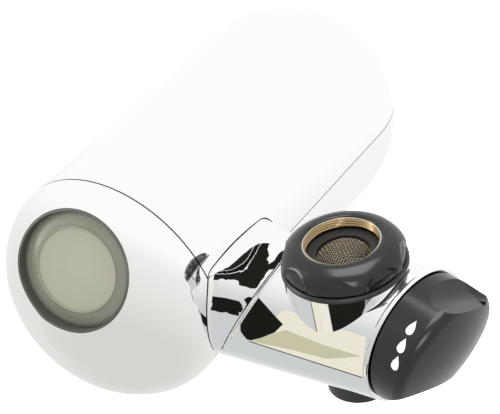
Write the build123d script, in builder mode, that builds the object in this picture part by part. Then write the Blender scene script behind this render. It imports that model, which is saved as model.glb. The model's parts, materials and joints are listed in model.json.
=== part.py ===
# Faucet mount water filter: a chrome capsule housing with a lift-up lid and a drop-in cartridge,
# joined by a short neck to a chrome valve body with a threaded swivel collar, a knob and an outlet.
#
# Frame: millimetres. +Z points up along the collar's axis, to the faucet. +X points from the housing
# to the knob. +Y points from the window end to the far dome. The origin is the centre of the collar's mouth.

import os
from math import atan2, cos, degrees, pi, radians, sin, sqrt

from build123d import *

# Housing
HOUSING_R = 41.5
HOUSING_WALL = 2.4
HOUSING_IN = HOUSING_R - HOUSING_WALL
NECK_REACH = 41.5  # from the collar's axis to the housing's near side
HOUSING_OFFSET = HOUSING_R + NECK_REACH  # from the collar's axis to the housing's axis
HOUSING_RISE = 4.0  # of the housing's axis above the arm's axis
RIM_Y = -15.5  # seam between the front cap and the two shells
FAR_DOME_Y = 94.5  # centre of the far dome
SEAM = 0.3  # visible gap between two shells
CAP_STRAIGHT = 1.0
CAP_DOME = 0.71 * HOUSING_R
CAP_SLEEVE = 3.4  # that the cap's sleeve reaches into the shells
CLEAR = 0.3  # between pieces that only rest or slide past each other
FIT = 0.1  # between pieces that are pushed together

# Arm and neck
ARM_R = 22.3
ARM_BELOW = 9.2  # top of the arm below the collar's mouth
ARM_DEPTH = ARM_R + ARM_BELOW  # axis of the arm below the collar's mouth
ARM_WALL = 1.9
NECK_SEAM_X = -34.5  # where the neck's oblique seam crosses the arm's axis
NECK_SEAM_LEAN = 31.8  # degrees that the seam leans towards the knob at its top
NECK_WALL = 2.2
NECK_TOP = 17.6  # top edge of the neck on the housing, above the arm's axis
NECK_BACK = ARM_R + 1.3  # far edge of the neck on the housing
NECK_CORNER = 6.5
NECK_ROOT_X = 23.0 - HOUSING_OFFSET
NECK_POINTS = 40  # round each of the neck's sections

# Knob, which faces a little towards the user and downwards
KNOB_X = ARM_R
KNOB_YAW = 13.0
KNOB_PITCH = 6.7
KNOB_R = ARM_R - 0.2
KNOB_LENGTH = 16.0
KNOB_GAP = 0.6
KNOB_CROWN_R = 60.0  # of the domed outer face
KNOB_LEAN = 0.2  # rise of the outer face towards the knob's top
KNOB_EDGE = 3.6
SCOOP_AT = 28.0  # degrees from the knob's top towards its back
SCOOP_R = 7.0
SCOOP_FLOOR = 17.3  # from the knob's axis
SCOOP_ALONG = 11.5  # along the knob's axis
SCOOP_END = 8.0  # of its straight stretch, towards the back
FLAT_AT = 202.0
FLAT_REACH = 19.3  # from the knob's axis at its base
FLAT_SLOPE = 0.65
HUB_R = 6.5
HOLLOW_R = 14.5
HOLLOW_DEPTH = 4.0
POCKET_DEPTH = 7.0
SPINDLE_R = 8.0
SPINDLE_BACK = -31.0  # inner end, along the knob's axis
SPINDLE_DRIVE_R = 4.5
SPINDLE_DRIVE = 8.0
DRIVE_STEP = 1.5  # from the knob's base to the drive
SPINDLE_FLAT = 3.4
SPINDLE_BORE_R = 3.5
SPINDLE_COLLAR_R = 9.6
SPINDLE_COLLAR = 2.0
SPINDLE_COLLAR_AT = -6.5
SPINDLE_SEALS = (SPINDLE_BACK + 2.5, SPINDLE_COLLAR_AT - 4.5)
CLIP_R = 10.8
CLIP_THICK = 1.0
RUNNING = 0.05  # radial clearance of turning fits

# Collar
COLLAR_R = 20.0
COLLAR_TOP = 0.6
COLLAR_BOTTOM = -7.2
COLLAR_SHOULDER = 3.6
COLLAR_SCALLOPS = 8
SCALLOP_R = 14.0
SCALLOP_DEPTH = 1.0
THREAD_R = 11.75  # wall that stands for the thread, between its crest and its root
THREAD_LENGTH = 2.6
RELIEF_R = 12.3
INSERT_TOP_R = 12.9
INSERT_R = 13.6
INSERT_STEP = -2.4
INSERT_BOTTOM = -8.4
INSERT_FLANGE = 1.5
SKIRT_R = 19.6
SKIRT_TOP = -7.5
BOSS_R = 19.8
BOSS_TOP = -8.9
BOSS_HOLE_R = 10.4
WASHER_TOP = -3.9
WASHER_THICK = 1.4
WASHER_R = 12.0
WASHER_HOLE_R = 8.5
SCREEN_R = 8.3
SCREEN_APEX = -2.55
SCREEN_WALL = 0.5
STEM_R = 9.4
STEM_BORE_R = 6.0
STEM_FLANGE_R = 12.0
STEM_BOTTOM = -19.0
SWIVEL_GAP = 0.15

# Outlet
OUTLET_X = -1.0
OUTLET_R = 11.3
OUTLET_END = -26.3  # below the arm's axis
OUTLET_TOP = -12.0
OUTLET_BORE_R = 8.2
OUTLET_GRID_AT = -21.7
GRID_THICK = 1.6
GRID_PITCH = 2.8
GRID_HOLE = 2.2

# Window in the front cap
WINDOW_R = 0.536 * HOUSING_R  # half width of the oval
WINDOW_LOW_R = 0.489 * HOUSING_R  # half height of the oval
WINDOW_UP = 25.0  # degrees that the window looks up
WINDOW_SIDE = 4.0  # degrees that it looks towards the arm
WINDOW_X = 2.1  # of its centre from the housing's axis
WINDOW_Z = 0.501 * HOUSING_R  # of its centre above the housing's axis
WINDOW_Y = RIM_Y - 20.8
BEZEL_WALL = 0.9
BEZEL_LEDGE = 1.6  # that carries the lens
BEZEL_DEPTH = 11.0
LENS_TOP = 1.6  # below the window's plane
LENS_THICK = 2.6
LENS_BEVEL = 1.3
LENS_DISC = 0.72  # share of the lens that the sunken middle takes
BOARD_AT = 8.6
BOARD_THICK = 1.2
LED_R = 1.6
LED_SPREAD = 5.0
CELL_R = 10.0
CELL_THICK = 3.2

# Manifold and ducts
HUB_FRONT = -15.0
HUB_BACK = 14.0
MANIFOLD_HUB_R = 17.5
FLANGE_R = HOUSING_IN - 0.9
FLANGE_AT = 8.5
FLANGE_THICK = 3.5
SOCKET_R = 13.1
SOCKET_END = 3.5
CHAMBER_R = 11.0
CHAMBER_END = -0.8
CENTRE_END = -12.0
DUCT_R = 4.5
DUCT_BORE_R = 3.2
FEED_Y = 3.5
RETURN_Y = -7.0
DUCT_FROM = 13.0 - HOUSING_OFFSET
DUCT_TO = -16.0
CORE_LEFT = -22.0

# Cartridge
CARTRIDGE_ROOM = 6.1  # between the cartridge and the shells, for the cradles
CARTRIDGE_R = HOUSING_R - HOUSING_WALL - CARTRIDGE_ROOM
CARTRIDGE_WALL = 2.0
CARTRIDGE_FRONT = 16.0
CARTRIDGE_BACK = 108.0
CARTRIDGE_DOME = 15.0
SPIGOT_END = 5.0
SPIGOT_R = 13.0
PORT_R = 6.5
PORT_BORE_R = 3.0
PORT_END = -4.8
BLOCK_R = CARTRIDGE_R - 6.5
BLOCK_BORE_R = 8.0
BLOCK_FRONT = 22.0
BLOCK_BACK = 102.0
BLOCK_CAP = 2.0
PLEATS = 36
PLEAT_IN = BLOCK_R + 0.5
PLEAT_OUT = CARTRIDGE_R - CARTRIDGE_WALL - 0.8
BLOCK_CAP_R = BLOCK_R + 1.0
FLEECE = 0.6
RING_SECTION = 0.95  # half thickness of the seals
CRADLES = (32.0, 92.0)

# Hinge and fasteners
HINGE_REACH = 2.2  # of the hinge's axis outside the housing
KNUCKLE_R = 3.0
HINGE_PIN_R = 1.5
KNUCKLE = 12.0
HINGE_START = 18.0
SCREW_R = 1.5
SCREW_HEAD_R = 2.9
SCREW_HEAD = 2.0
SCREW_LENGTH = 14.0
SCREW_CIRCLE = HOUSING_IN - 4.7
SCREW_ANGLES = (-20.0, -90.0, -160.0)
SCREW_BOSS_R = 4.8

# Places worked out from the sizes above
ARM_Z = -ARM_DEPTH
HOUSING_X = -HOUSING_OFFSET
HOUSING_Z = ARM_Z + HOUSING_RISE
HOUSING_AXIS = Axis((HOUSING_X, 0, HOUSING_Z), (0, 1, 0))
HOUSING_SECTION = Plane((HOUSING_X, 0, HOUSING_Z), x_dir=(1, 0, 0), z_dir=(0, 0, 1))
ARM_SECTION = Plane.YZ
HINGE_X = HOUSING_X - HOUSING_R - HINGE_REACH
yaw = radians(KNOB_YAW)
pitch = radians(KNOB_PITCH)
KNOB_DIR = Vector(cos(pitch) * cos(yaw), -cos(pitch) * sin(yaw), -sin(pitch))
KNOB_UP = Vector(sin(pitch) * cos(yaw), -sin(pitch) * sin(yaw), cos(pitch))
KNOB_SIDE = KNOB_UP.cross(KNOB_DIR)
KNOB_ORIGIN = Vector(KNOB_X, 0, ARM_Z)
KNOB_AXIS = Axis(KNOB_ORIGIN, KNOB_DIR)
KNOB_BASE = Plane(KNOB_ORIGIN, x_dir=KNOB_UP, z_dir=KNOB_DIR)
KNOB_SECTION = Plane(KNOB_ORIGIN, x_dir=KNOB_UP, z_dir=KNOB_SIDE)  # first direction up, second along the axis
up = radians(WINDOW_UP)
side = radians(WINDOW_SIDE)
WINDOW_DIR = Vector(cos(up) * sin(side), -cos(up) * cos(side), sin(up))
WINDOW_PLANE = Plane((HOUSING_X + WINDOW_X, WINDOW_Y, HOUSING_Z + WINDOW_Z), x_dir=(cos(side), sin(side), 0), z_dir=WINDOW_DIR)

os.makedirs("parts", exist_ok=True)

# Shared forms


def capsule(radius, front):
    """The two shells' outline as one solid: a straight barrel from front, and the far dome."""
    with BuildPart() as solid:
        with BuildSketch(HOUSING_SECTION):
            with BuildLine():
                Polyline((0, FAR_DOME_Y + radius), (0, front), (radius, front), (radius, FAR_DOME_Y))
                CenterArc((0, FAR_DOME_Y), radius, 0, 90)
            make_face()
        revolve(axis=HOUSING_AXIS)
    return solid.part


def front_dome(radius, depth, back):
    """The front cap's outline as one solid: a short straight stretch, then a flattened dome."""
    shoulder = RIM_Y - CAP_STRAIGHT
    with BuildPart() as solid:
        with BuildSketch(HOUSING_SECTION):
            with BuildLine():
                Polyline((0, shoulder - depth), (0, back), (radius, back), (radius, shoulder))
                Spline(
                    (radius, shoulder),
                    (radius * 0.951, shoulder - depth * 0.309),
                    (radius * 0.809, shoulder - depth * 0.588),
                    (radius * 0.588, shoulder - depth * 0.809),
                    (radius * 0.309, shoulder - depth * 0.951),
                    (0, shoulder - depth),
                    tangents=((0, -1), (-1, 0)),
                )
            make_face()
        revolve(axis=HOUSING_AXIS)
    return solid.part


def neck_radius(angle, share):
    """Distance of the neck's surface from the arm's axis: share 1 is the notch's form, 0 the arm's round."""
    c = cos(angle)
    s = sin(angle)
    reach = ARM_R
    if s > 0 and c > 0:
        corner = (NECK_BACK - NECK_CORNER, NECK_TOP - NECK_CORNER)
        reach = min(NECK_BACK / max(c, 1e-6), NECK_TOP / max(s, 1e-6))
        if reach * c > corner[0] and reach * s > corner[1]:
            along = corner[0] * c + corner[1] * s
            reach = along + sqrt(along**2 - corner[0] ** 2 - corner[1] ** 2 + NECK_CORNER**2)
    elif s > 0:
        reach = min(ARM_R, NECK_TOP / max(s, 1e-6))
    elif c > 0:
        reach = ARM_R + (NECK_BACK - ARM_R) * max(0.0, 1 + s * 1.6) ** 2
    return ARM_R + share * (reach - ARM_R)


def neck(grow):
    """Saddle between the housing and the arm, as one solid that ends inside the arm."""
    stations = ((NECK_ROOT_X, 1.0), (-46.0, 1.0), (-41.5, 0.62), (-37.0, 0.3), (-31.0, 0.08), (-20.0, 0.0))
    with BuildPart() as solid:
        for x, share in stations:
            with BuildSketch(ARM_SECTION.offset(x)):
                with BuildLine():
                    ring = []
                    for k in range(NECK_POINTS):
                        angle = 2 * pi * (k + 0.5) / NECK_POINTS
                        reach = neck_radius(angle, share) + grow
                        ring.append((reach * cos(angle), ARM_Z + reach * sin(angle)))
                    Spline(*ring, periodic=True)
                make_face()
        loft()
    return solid.part


def beyond_plane(plane, length=120, half=150):
    """Large block on the far side of a plane, for trimming."""
    with BuildPart() as block:
        with BuildSketch(plane):
            Rectangle(2 * half, 2 * half)
        extrude(amount=length)
    return block.part


def seal(axis_plane, major):
    """Seal ring of round section: its circle lies in the plane, its section's centre at the major radius."""
    with BuildPart() as ring:
        with Locations(axis_plane):
            Torus(major, RING_SECTION)
    return ring.part


def knuckle_bar(first, radius):
    """Every second knuckle of the hinge, counted from first."""
    with BuildPart() as bars:
        for k in range(first, 5, 2):
            with BuildSketch(Plane((HINGE_X, HINGE_START + k * KNUCKLE, HOUSING_Z), x_dir=(1, 0, 0), z_dir=(0, 1, 0))):
                Circle(radius)
            extrude(amount=KNUCKLE)
    return bars.part


outer_capsule = capsule(HOUSING_R, RIM_Y + SEAM / 2)
inner_capsule = capsule(HOUSING_IN, RIM_Y - 5)
wide_dome = front_dome(HOUSING_R + SEAM, CAP_DOME + SEAM, RIM_Y + SEAM / 2)
below_parting = beyond_plane(Plane((HOUSING_X, 60, HOUSING_Z - SEAM / 2), x_dir=(1, 0, 0), z_dir=(0, 0, -1)))
above_parting = beyond_plane(Plane((HOUSING_X, 60, HOUSING_Z + SEAM / 2), x_dir=(1, 0, 0), z_dir=(0, 0, 1)))
SEAM_DIR = Vector(cos(radians(NECK_SEAM_LEAN)), 0, -sin(radians(NECK_SEAM_LEAN)))
SEAM_POINT = Vector(NECK_SEAM_X, 0, ARM_Z)
right_of_seam = beyond_plane(Plane(SEAM_POINT - SEAM_DIR * (SEAM / 2), x_dir=(0, 1, 0), z_dir=SEAM_DIR))
left_of_seam = beyond_plane(Plane(SEAM_POINT + SEAM_DIR * (SEAM / 2), x_dir=(0, 1, 0), z_dir=-SEAM_DIR))
neck_outer = neck(0)
neck_inner = neck(-NECK_WALL)
neck_wide = neck(SEAM)
base_knuckles = knuckle_bar(0, KNUCKLE_R)
lid_knuckles = knuckle_bar(1, KNUCKLE_R)
base_knuckle_room = knuckle_bar(0, KNUCKLE_R + CLEAR)
lid_knuckle_room = knuckle_bar(1, KNUCKLE_R + CLEAR)

# Lower shell: the housing's lower half with the neck, the hinge's fixed knuckles, cradles and screw bosses

cradle_planes = []
for y in CRADLES:
    cradle_planes.append(Plane((HOUSING_X, y, HOUSING_Z), x_dir=(1, 0, 0), z_dir=(0, 1, 0)))
half_shell = outer_capsule & below_parting
saddle = (neck_outer & (outer_capsule + beyond_plane(Plane.YZ.offset(NECK_ROOT_X)))) - right_of_seam - wide_dome
neck_hollow = neck_inner - capsule(HOUSING_R, RIM_Y - HOUSING_R / 2)

with BuildPart() as lower_shell:
    add(half_shell)
    add(saddle)
    add(base_knuckles)
    add(inner_capsule, mode=Mode.SUBTRACT)
    add(neck_hollow, mode=Mode.SUBTRACT)
    add(lid_knuckle_room, mode=Mode.SUBTRACT)
    # Half rings that carry the cartridge
    for plane in cradle_planes:
        with BuildSketch(plane):
            Circle(HOUSING_IN + 0.5)
            Circle(CARTRIDGE_R + CLEAR, mode=Mode.SUBTRACT)
            with Locations((0, -47)):
                Rectangle(100, 100, mode=Mode.SUBTRACT)
        extrude(amount=3)
    # Bosses for the manifold's screws
    for angle in SCREW_ANGLES:
        spot = (SCREW_CIRCLE * cos(radians(angle)), -SCREW_CIRCLE * sin(radians(angle)))
        with BuildSketch(Plane((HOUSING_X, FLANGE_AT - SCREW_LENGTH, HOUSING_Z), x_dir=(1, 0, 0), z_dir=(0, 1, 0))):
            with Locations(spot):
                Circle(SCREW_BOSS_R)
        extrude(amount=SCREW_LENGTH)
    for angle in SCREW_ANGLES:
        spot = (SCREW_CIRCLE * cos(radians(angle)), -SCREW_CIRCLE * sin(radians(angle)))
        with BuildSketch(Plane((HOUSING_X, FLANGE_AT, HOUSING_Z), x_dir=(1, 0, 0), z_dir=(0, -1, 0))):
            with Locations((spot[0], -spot[1])):
                Circle(SCREW_R)
        extrude(amount=SCREW_LENGTH - 2, mode=Mode.SUBTRACT)
    # Holes for the two ducts
    for y in (FEED_Y, RETURN_Y):
        with BuildSketch(Plane((DUCT_FROM, y, HOUSING_Z), x_dir=(0, 1, 0), z_dir=(1, 0, 0))):
            Circle(DUCT_R + CLEAR)
        extrude(amount=32, mode=Mode.SUBTRACT)
    # Bore of the hinge
    with BuildSketch(Plane((HINGE_X, HINGE_START - 1, HOUSING_Z), x_dir=(1, 0, 0), z_dir=(0, 1, 0))):
        Circle(HINGE_PIN_R)
    extrude(amount=5 * KNUCKLE + 2, mode=Mode.SUBTRACT)
lower_shell.part.label = "lower_shell"
export_step(lower_shell.part, "parts/lower_shell.step")

# Lid: the housing's upper half with the notch for the neck and the hinge's moving knuckles

with BuildPart() as lid_shell:
    add(outer_capsule & above_parting)
    add(lid_knuckles)
    add(inner_capsule, mode=Mode.SUBTRACT)
    add(neck_wide, mode=Mode.SUBTRACT)
    add(base_knuckle_room, mode=Mode.SUBTRACT)
    with BuildSketch(Plane((HINGE_X, HINGE_START - 1, HOUSING_Z), x_dir=(1, 0, 0), z_dir=(0, 1, 0))):
        Circle(HINGE_PIN_R + RUNNING)
    extrude(amount=5 * KNUCKLE + 2, mode=Mode.SUBTRACT)
lid_shell.part.label = "lid_shell"
export_step(lid_shell.part, "parts/lid_shell.step")

# Front cap: the flattened dome with its sleeve inside the shells and the window's opening

cap_outer = front_dome(HOUSING_R, CAP_DOME, RIM_Y - SEAM / 2)
cap_inner = front_dome(HOUSING_IN, CAP_DOME - HOUSING_WALL, RIM_Y + HOUSING_R / 2)
SLEEVE_R = HOUSING_IN - CLEAR
SLEEVE_WALL = 1.8
with BuildPart() as front_cap:
    add(cap_outer)
    add(cap_inner, mode=Mode.SUBTRACT)
    with BuildSketch(Plane((HOUSING_X, RIM_Y - 3, HOUSING_Z), x_dir=(1, 0, 0), z_dir=(0, 1, 0))):
        Circle(HOUSING_IN + 0.5)
        Circle(SLEEVE_R - SLEEVE_WALL, mode=Mode.SUBTRACT)
    extrude(amount=2)
    with BuildSketch(Plane((HOUSING_X, RIM_Y - 1, HOUSING_Z), x_dir=(1, 0, 0), z_dir=(0, 1, 0))):
        Circle(SLEEVE_R)
        Circle(SLEEVE_R - SLEEVE_WALL, mode=Mode.SUBTRACT)
    extrude(amount=1 + CAP_SLEEVE)
    # Opening of the window
    with BuildSketch(WINDOW_PLANE.offset(-14)):
        Ellipse(WINDOW_R, WINDOW_LOW_R)
    extrude(amount=30, mode=Mode.SUBTRACT)
front_cap.part.label = "front_cap"
export_step(front_cap.part, "parts/front_cap.step")

# Bezel ring: the dark sleeve in the window's opening, with the lens's seat

with BuildPart() as bezel_ring:
    with BuildSketch(WINDOW_PLANE.offset(-BEZEL_DEPTH)):
        Ellipse(WINDOW_R, WINDOW_LOW_R)
        Ellipse(WINDOW_R - BEZEL_WALL, WINDOW_LOW_R - BEZEL_WALL, mode=Mode.SUBTRACT)
    extrude(amount=30)
    with BuildSketch(WINDOW_PLANE.offset(-LENS_TOP - LENS_THICK - 1.2)):
        Ellipse(WINDOW_R, WINDOW_LOW_R)
        Ellipse(WINDOW_R - BEZEL_WALL - BEZEL_LEDGE, WINDOW_LOW_R - BEZEL_WALL - BEZEL_LEDGE, mode=Mode.SUBTRACT)
    extrude(amount=1.2)
    add(front_dome(HOUSING_R - 0.15, CAP_DOME - 0.15, RIM_Y + HOUSING_R / 2), mode=Mode.INTERSECT)
bezel_ring.part.label = "bezel_ring"
export_step(bezel_ring.part, "parts/bezel_ring.step")

# Window lens: a translucent disc with a bevelled ring round its raised middle

lens_r = WINDOW_R - BEZEL_WALL - FIT
lens_low_r = WINDOW_LOW_R - BEZEL_WALL - FIT
with BuildPart() as window_lens:
    with BuildSketch(WINDOW_PLANE.offset(-LENS_TOP - LENS_THICK)):
        Ellipse(lens_r, lens_low_r)
    extrude(amount=LENS_THICK - LENS_BEVEL)
    with BuildSketch(WINDOW_PLANE.offset(-LENS_TOP - LENS_BEVEL)):
        Ellipse(lens_r, lens_low_r)
    with BuildSketch(WINDOW_PLANE.offset(-LENS_TOP)):
        Ellipse(lens_r * LENS_DISC + 0.6, lens_low_r * LENS_DISC + 0.6)
    loft(ruled=True)
    with BuildSketch(WINDOW_PLANE.offset(-LENS_TOP - 0.5)):
        Ellipse(lens_r * LENS_DISC, lens_low_r * LENS_DISC)
    extrude(amount=1, mode=Mode.SUBTRACT)
window_lens.part.label = "window_lens"
export_step(window_lens.part, "parts/window_lens.step")

# Change indicator behind the lens: board, two lamps and a coin cell

with BuildPart() as indicator_board:
    with BuildSketch(WINDOW_PLANE.offset(-BOARD_AT - BOARD_THICK)):
        Ellipse(WINDOW_R - BEZEL_WALL, WINDOW_LOW_R - BEZEL_WALL)
    extrude(amount=BOARD_THICK)
indicator_board.part.label = "indicator_board"
export_step(indicator_board.part, "parts/indicator_board.step")

with BuildPart() as indicator_leds:
    for shift in (-LED_SPREAD, LED_SPREAD):
        with BuildSketch(WINDOW_PLANE.offset(-BOARD_AT)):
            with Locations((shift, 0)):
                Circle(LED_R)
        extrude(amount=1.4)
indicator_leds.part.label = "indicator_leds"
export_step(indicator_leds.part, "parts/indicator_leds.step")

with BuildPart() as coin_cell:
    with BuildSketch(WINDOW_PLANE.offset(-BOARD_AT - BOARD_THICK - CELL_THICK)):
        Circle(CELL_R)
    extrude(amount=CELL_THICK)
    chamfer(coin_cell.edges().filter_by(GeomType.CIRCLE), length=0.3)
coin_cell.part.label = "coin_cell"
export_step(coin_cell.part, "parts/coin_cell.step")

# Valve shell: the chrome tube from the neck's seam to the knob, with the boss under the collar

arm_tube_section = Plane.YZ.offset(-60)
knob_side_block = beyond_plane(Plane(KNOB_ORIGIN, x_dir=KNOB_UP, z_dir=KNOB_DIR))
with BuildPart() as valve_shell:
    with BuildSketch(arm_tube_section):
        with Locations((0, ARM_Z)):
            Circle(ARM_R)
    extrude(amount=100)
    with BuildSketch(Plane.XY.offset(BOSS_TOP)):
        Circle(BOSS_R)
    extrude(amount=BOSS_TOP - ARM_Z, dir=(0, 0, -1))
    with BuildSketch(arm_tube_section):
        with Locations((0, ARM_Z)):
            Circle(ARM_R - ARM_WALL)
    extrude(amount=100, mode=Mode.SUBTRACT)
    add(left_of_seam, mode=Mode.SUBTRACT)
    add(knob_side_block, mode=Mode.SUBTRACT)
    with BuildSketch(Plane.XY.offset(BOSS_TOP + 1)):
        Circle(BOSS_HOLE_R)
    extrude(amount=12, dir=(0, 0, -1), mode=Mode.SUBTRACT)
    with BuildSketch(Plane.XY.offset(ARM_Z - ARM_R - 2)):
        with Locations((OUTLET_X, 0)):
            Circle(OUTLET_R + FIT)
    extrude(amount=12, mode=Mode.SUBTRACT)
valve_shell.part.label = "valve_shell"
export_step(valve_shell.part, "parts/valve_shell.step")

# Skirt ring: the black ring between the boss and the collar

with BuildPart() as skirt_ring:
    with BuildSketch(Plane.XZ):
        with BuildLine():
            Polyline(
                (INSERT_R + CLEAR, BOSS_TOP),
                (SKIRT_R + 0.6, BOSS_TOP),
                (SKIRT_R + 0.6, BOSS_TOP + 0.7),
                (SKIRT_R, SKIRT_TOP),
                (INSERT_R + CLEAR, SKIRT_TOP),
                close=True,
            )
        make_face()
    revolve(axis=Axis.Z)
skirt_ring.part.label = "skirt_ring"
export_step(skirt_ring.part, "parts/skirt_ring.step")

# Collar: black scalloped nut with a brass thread insert

with BuildPart() as collar_nut:
    with BuildSketch(Plane.XZ):
        with BuildLine():
            Polyline(
                (INSERT_TOP_R, COLLAR_TOP),
                (INSERT_TOP_R, INSERT_STEP),
                (INSERT_R, INSERT_STEP),
                (INSERT_R, COLLAR_BOTTOM),
                (COLLAR_R, COLLAR_BOTTOM),
                (COLLAR_R, COLLAR_TOP - COLLAR_SHOULDER),
            )
            Spline(
                (COLLAR_R, COLLAR_TOP - COLLAR_SHOULDER),
                (COLLAR_R - 1.3, COLLAR_TOP - 1.15),
                (COLLAR_R - 4.2, COLLAR_TOP),
                tangents=((0, 1), (-1, 0)),
            )
            Line((COLLAR_R - 4.2, COLLAR_TOP), (INSERT_TOP_R, COLLAR_TOP))
        make_face()
    revolve(axis=Axis.Z)
    with BuildSketch(Plane.XY.offset(COLLAR_BOTTOM)):
        with PolarLocations(COLLAR_R - SCALLOP_DEPTH + SCALLOP_R, COLLAR_SCALLOPS, start_angle=22.5):
            Circle(SCALLOP_R)
    extrude(amount=6.2, mode=Mode.SUBTRACT)
collar_nut.part.label = "collar_nut"
export_step(collar_nut.part, "parts/collar_nut.step")

with BuildPart() as thread_insert:
    with BuildSketch(Plane.XZ):
        with BuildLine():
            Polyline(
                (THREAD_R + 0.45, 0),
                (INSERT_TOP_R, 0),
                (INSERT_TOP_R, INSERT_STEP),
                (INSERT_R, INSERT_STEP),
                (INSERT_R, INSERT_BOTTOM),
                (STEM_R + CLEAR, INSERT_BOTTOM),
                (STEM_R + CLEAR, INSERT_BOTTOM + INSERT_FLANGE),
                (RELIEF_R, INSERT_BOTTOM + INSERT_FLANGE),
                (RELIEF_R, -THREAD_LENGTH - 0.5),
                (THREAD_R, -THREAD_LENGTH),
                (THREAD_R, -0.2),
                close=True,
            )
        make_face()
    revolve(axis=Axis.Z)
thread_insert.part.label = "thread_insert"
export_step(thread_insert.part, "parts/thread_insert.step")

# Rubber washer and the domed inlet screen that stands in its hole

with BuildPart() as rubber_washer:
    with BuildSketch(Plane.XY.offset(WASHER_TOP - WASHER_THICK)):
        Circle(WASHER_R)
        Circle(WASHER_HOLE_R, mode=Mode.SUBTRACT)
    extrude(amount=WASHER_THICK)
    fillet(rubber_washer.edges().group_by(Axis.Z)[-1], radius=0.3)
rubber_washer.part.label = "rubber_washer"
export_step(rubber_washer.part, "parts/rubber_washer.step")

screen_base = WASHER_TOP - WASHER_THICK
screen_rise = SCREEN_APEX - screen_base
screen_sphere = (SCREEN_R**2 + (screen_rise - 0.4) ** 2) / (2 * (screen_rise - 0.4))
screen_centre = SCREEN_APEX - screen_sphere
screen_inside = screen_sphere - SCREEN_WALL
screen_foot = sqrt(screen_inside**2 - (screen_base - screen_centre) ** 2)
with BuildPart() as inlet_screen:
    with BuildSketch(Plane.XZ):
        with BuildLine():
            Line((0, SCREEN_APEX - SCREEN_WALL), (0, SCREEN_APEX))
            ThreePointArc(
                (0, SCREEN_APEX),
                (SCREEN_R / 2, screen_centre + sqrt(screen_sphere**2 - SCREEN_R**2 / 4)),
                (SCREEN_R, screen_base + 0.4),
            )
            Polyline((SCREEN_R, screen_base + 0.4), (SCREEN_R, screen_base), (screen_foot, screen_base))
            ThreePointArc(
                (screen_foot, screen_base),
                (screen_foot / 2, screen_centre + sqrt(screen_inside**2 - screen_foot**2 / 4)),
                (0, SCREEN_APEX - SCREEN_WALL),
            )
        make_face()
    revolve(axis=Axis.Z)
inlet_screen.part.label = "inlet_screen"
export_step(inlet_screen.part, "parts/inlet_screen.step")

# Swivel stem: its flange holds the collar, its seal sits in the valve core

STEM_SEAL_Z = -15.0
STEM_SEAL_R = STEM_R + FIT - RING_SECTION
with BuildPart() as swivel_stem:
    with BuildSketch(Plane.XZ):
        with BuildLine():
            Polyline(
                (STEM_BORE_R, screen_base),
                (STEM_FLANGE_R, screen_base),
                (STEM_FLANGE_R, INSERT_BOTTOM + INSERT_FLANGE + SWIVEL_GAP),
                (STEM_R, INSERT_BOTTOM + INSERT_FLANGE + SWIVEL_GAP),
                (STEM_R, STEM_SEAL_Z + 1.1),
                (STEM_SEAL_R - RING_SECTION, STEM_SEAL_Z + 1.1),
                (STEM_SEAL_R - RING_SECTION, STEM_SEAL_Z - 1.1),
                (STEM_R, STEM_SEAL_Z - 1.1),
                (STEM_R, STEM_BOTTOM),
                (STEM_BORE_R, STEM_BOTTOM),
                close=True,
            )
        make_face()
    revolve(axis=Axis.Z)
swivel_stem.part.label = "swivel_stem"
export_step(swivel_stem.part, "parts/swivel_stem.step")

stem_o_ring = seal(Plane.XY.offset(STEM_SEAL_Z), STEM_SEAL_R)
stem_o_ring.label = "stem_o_ring"
export_step(stem_o_ring, "parts/stem_o_ring.step")

# Valve core: the body inside the chrome tube, with the spindle's bore and the waterways

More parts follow.
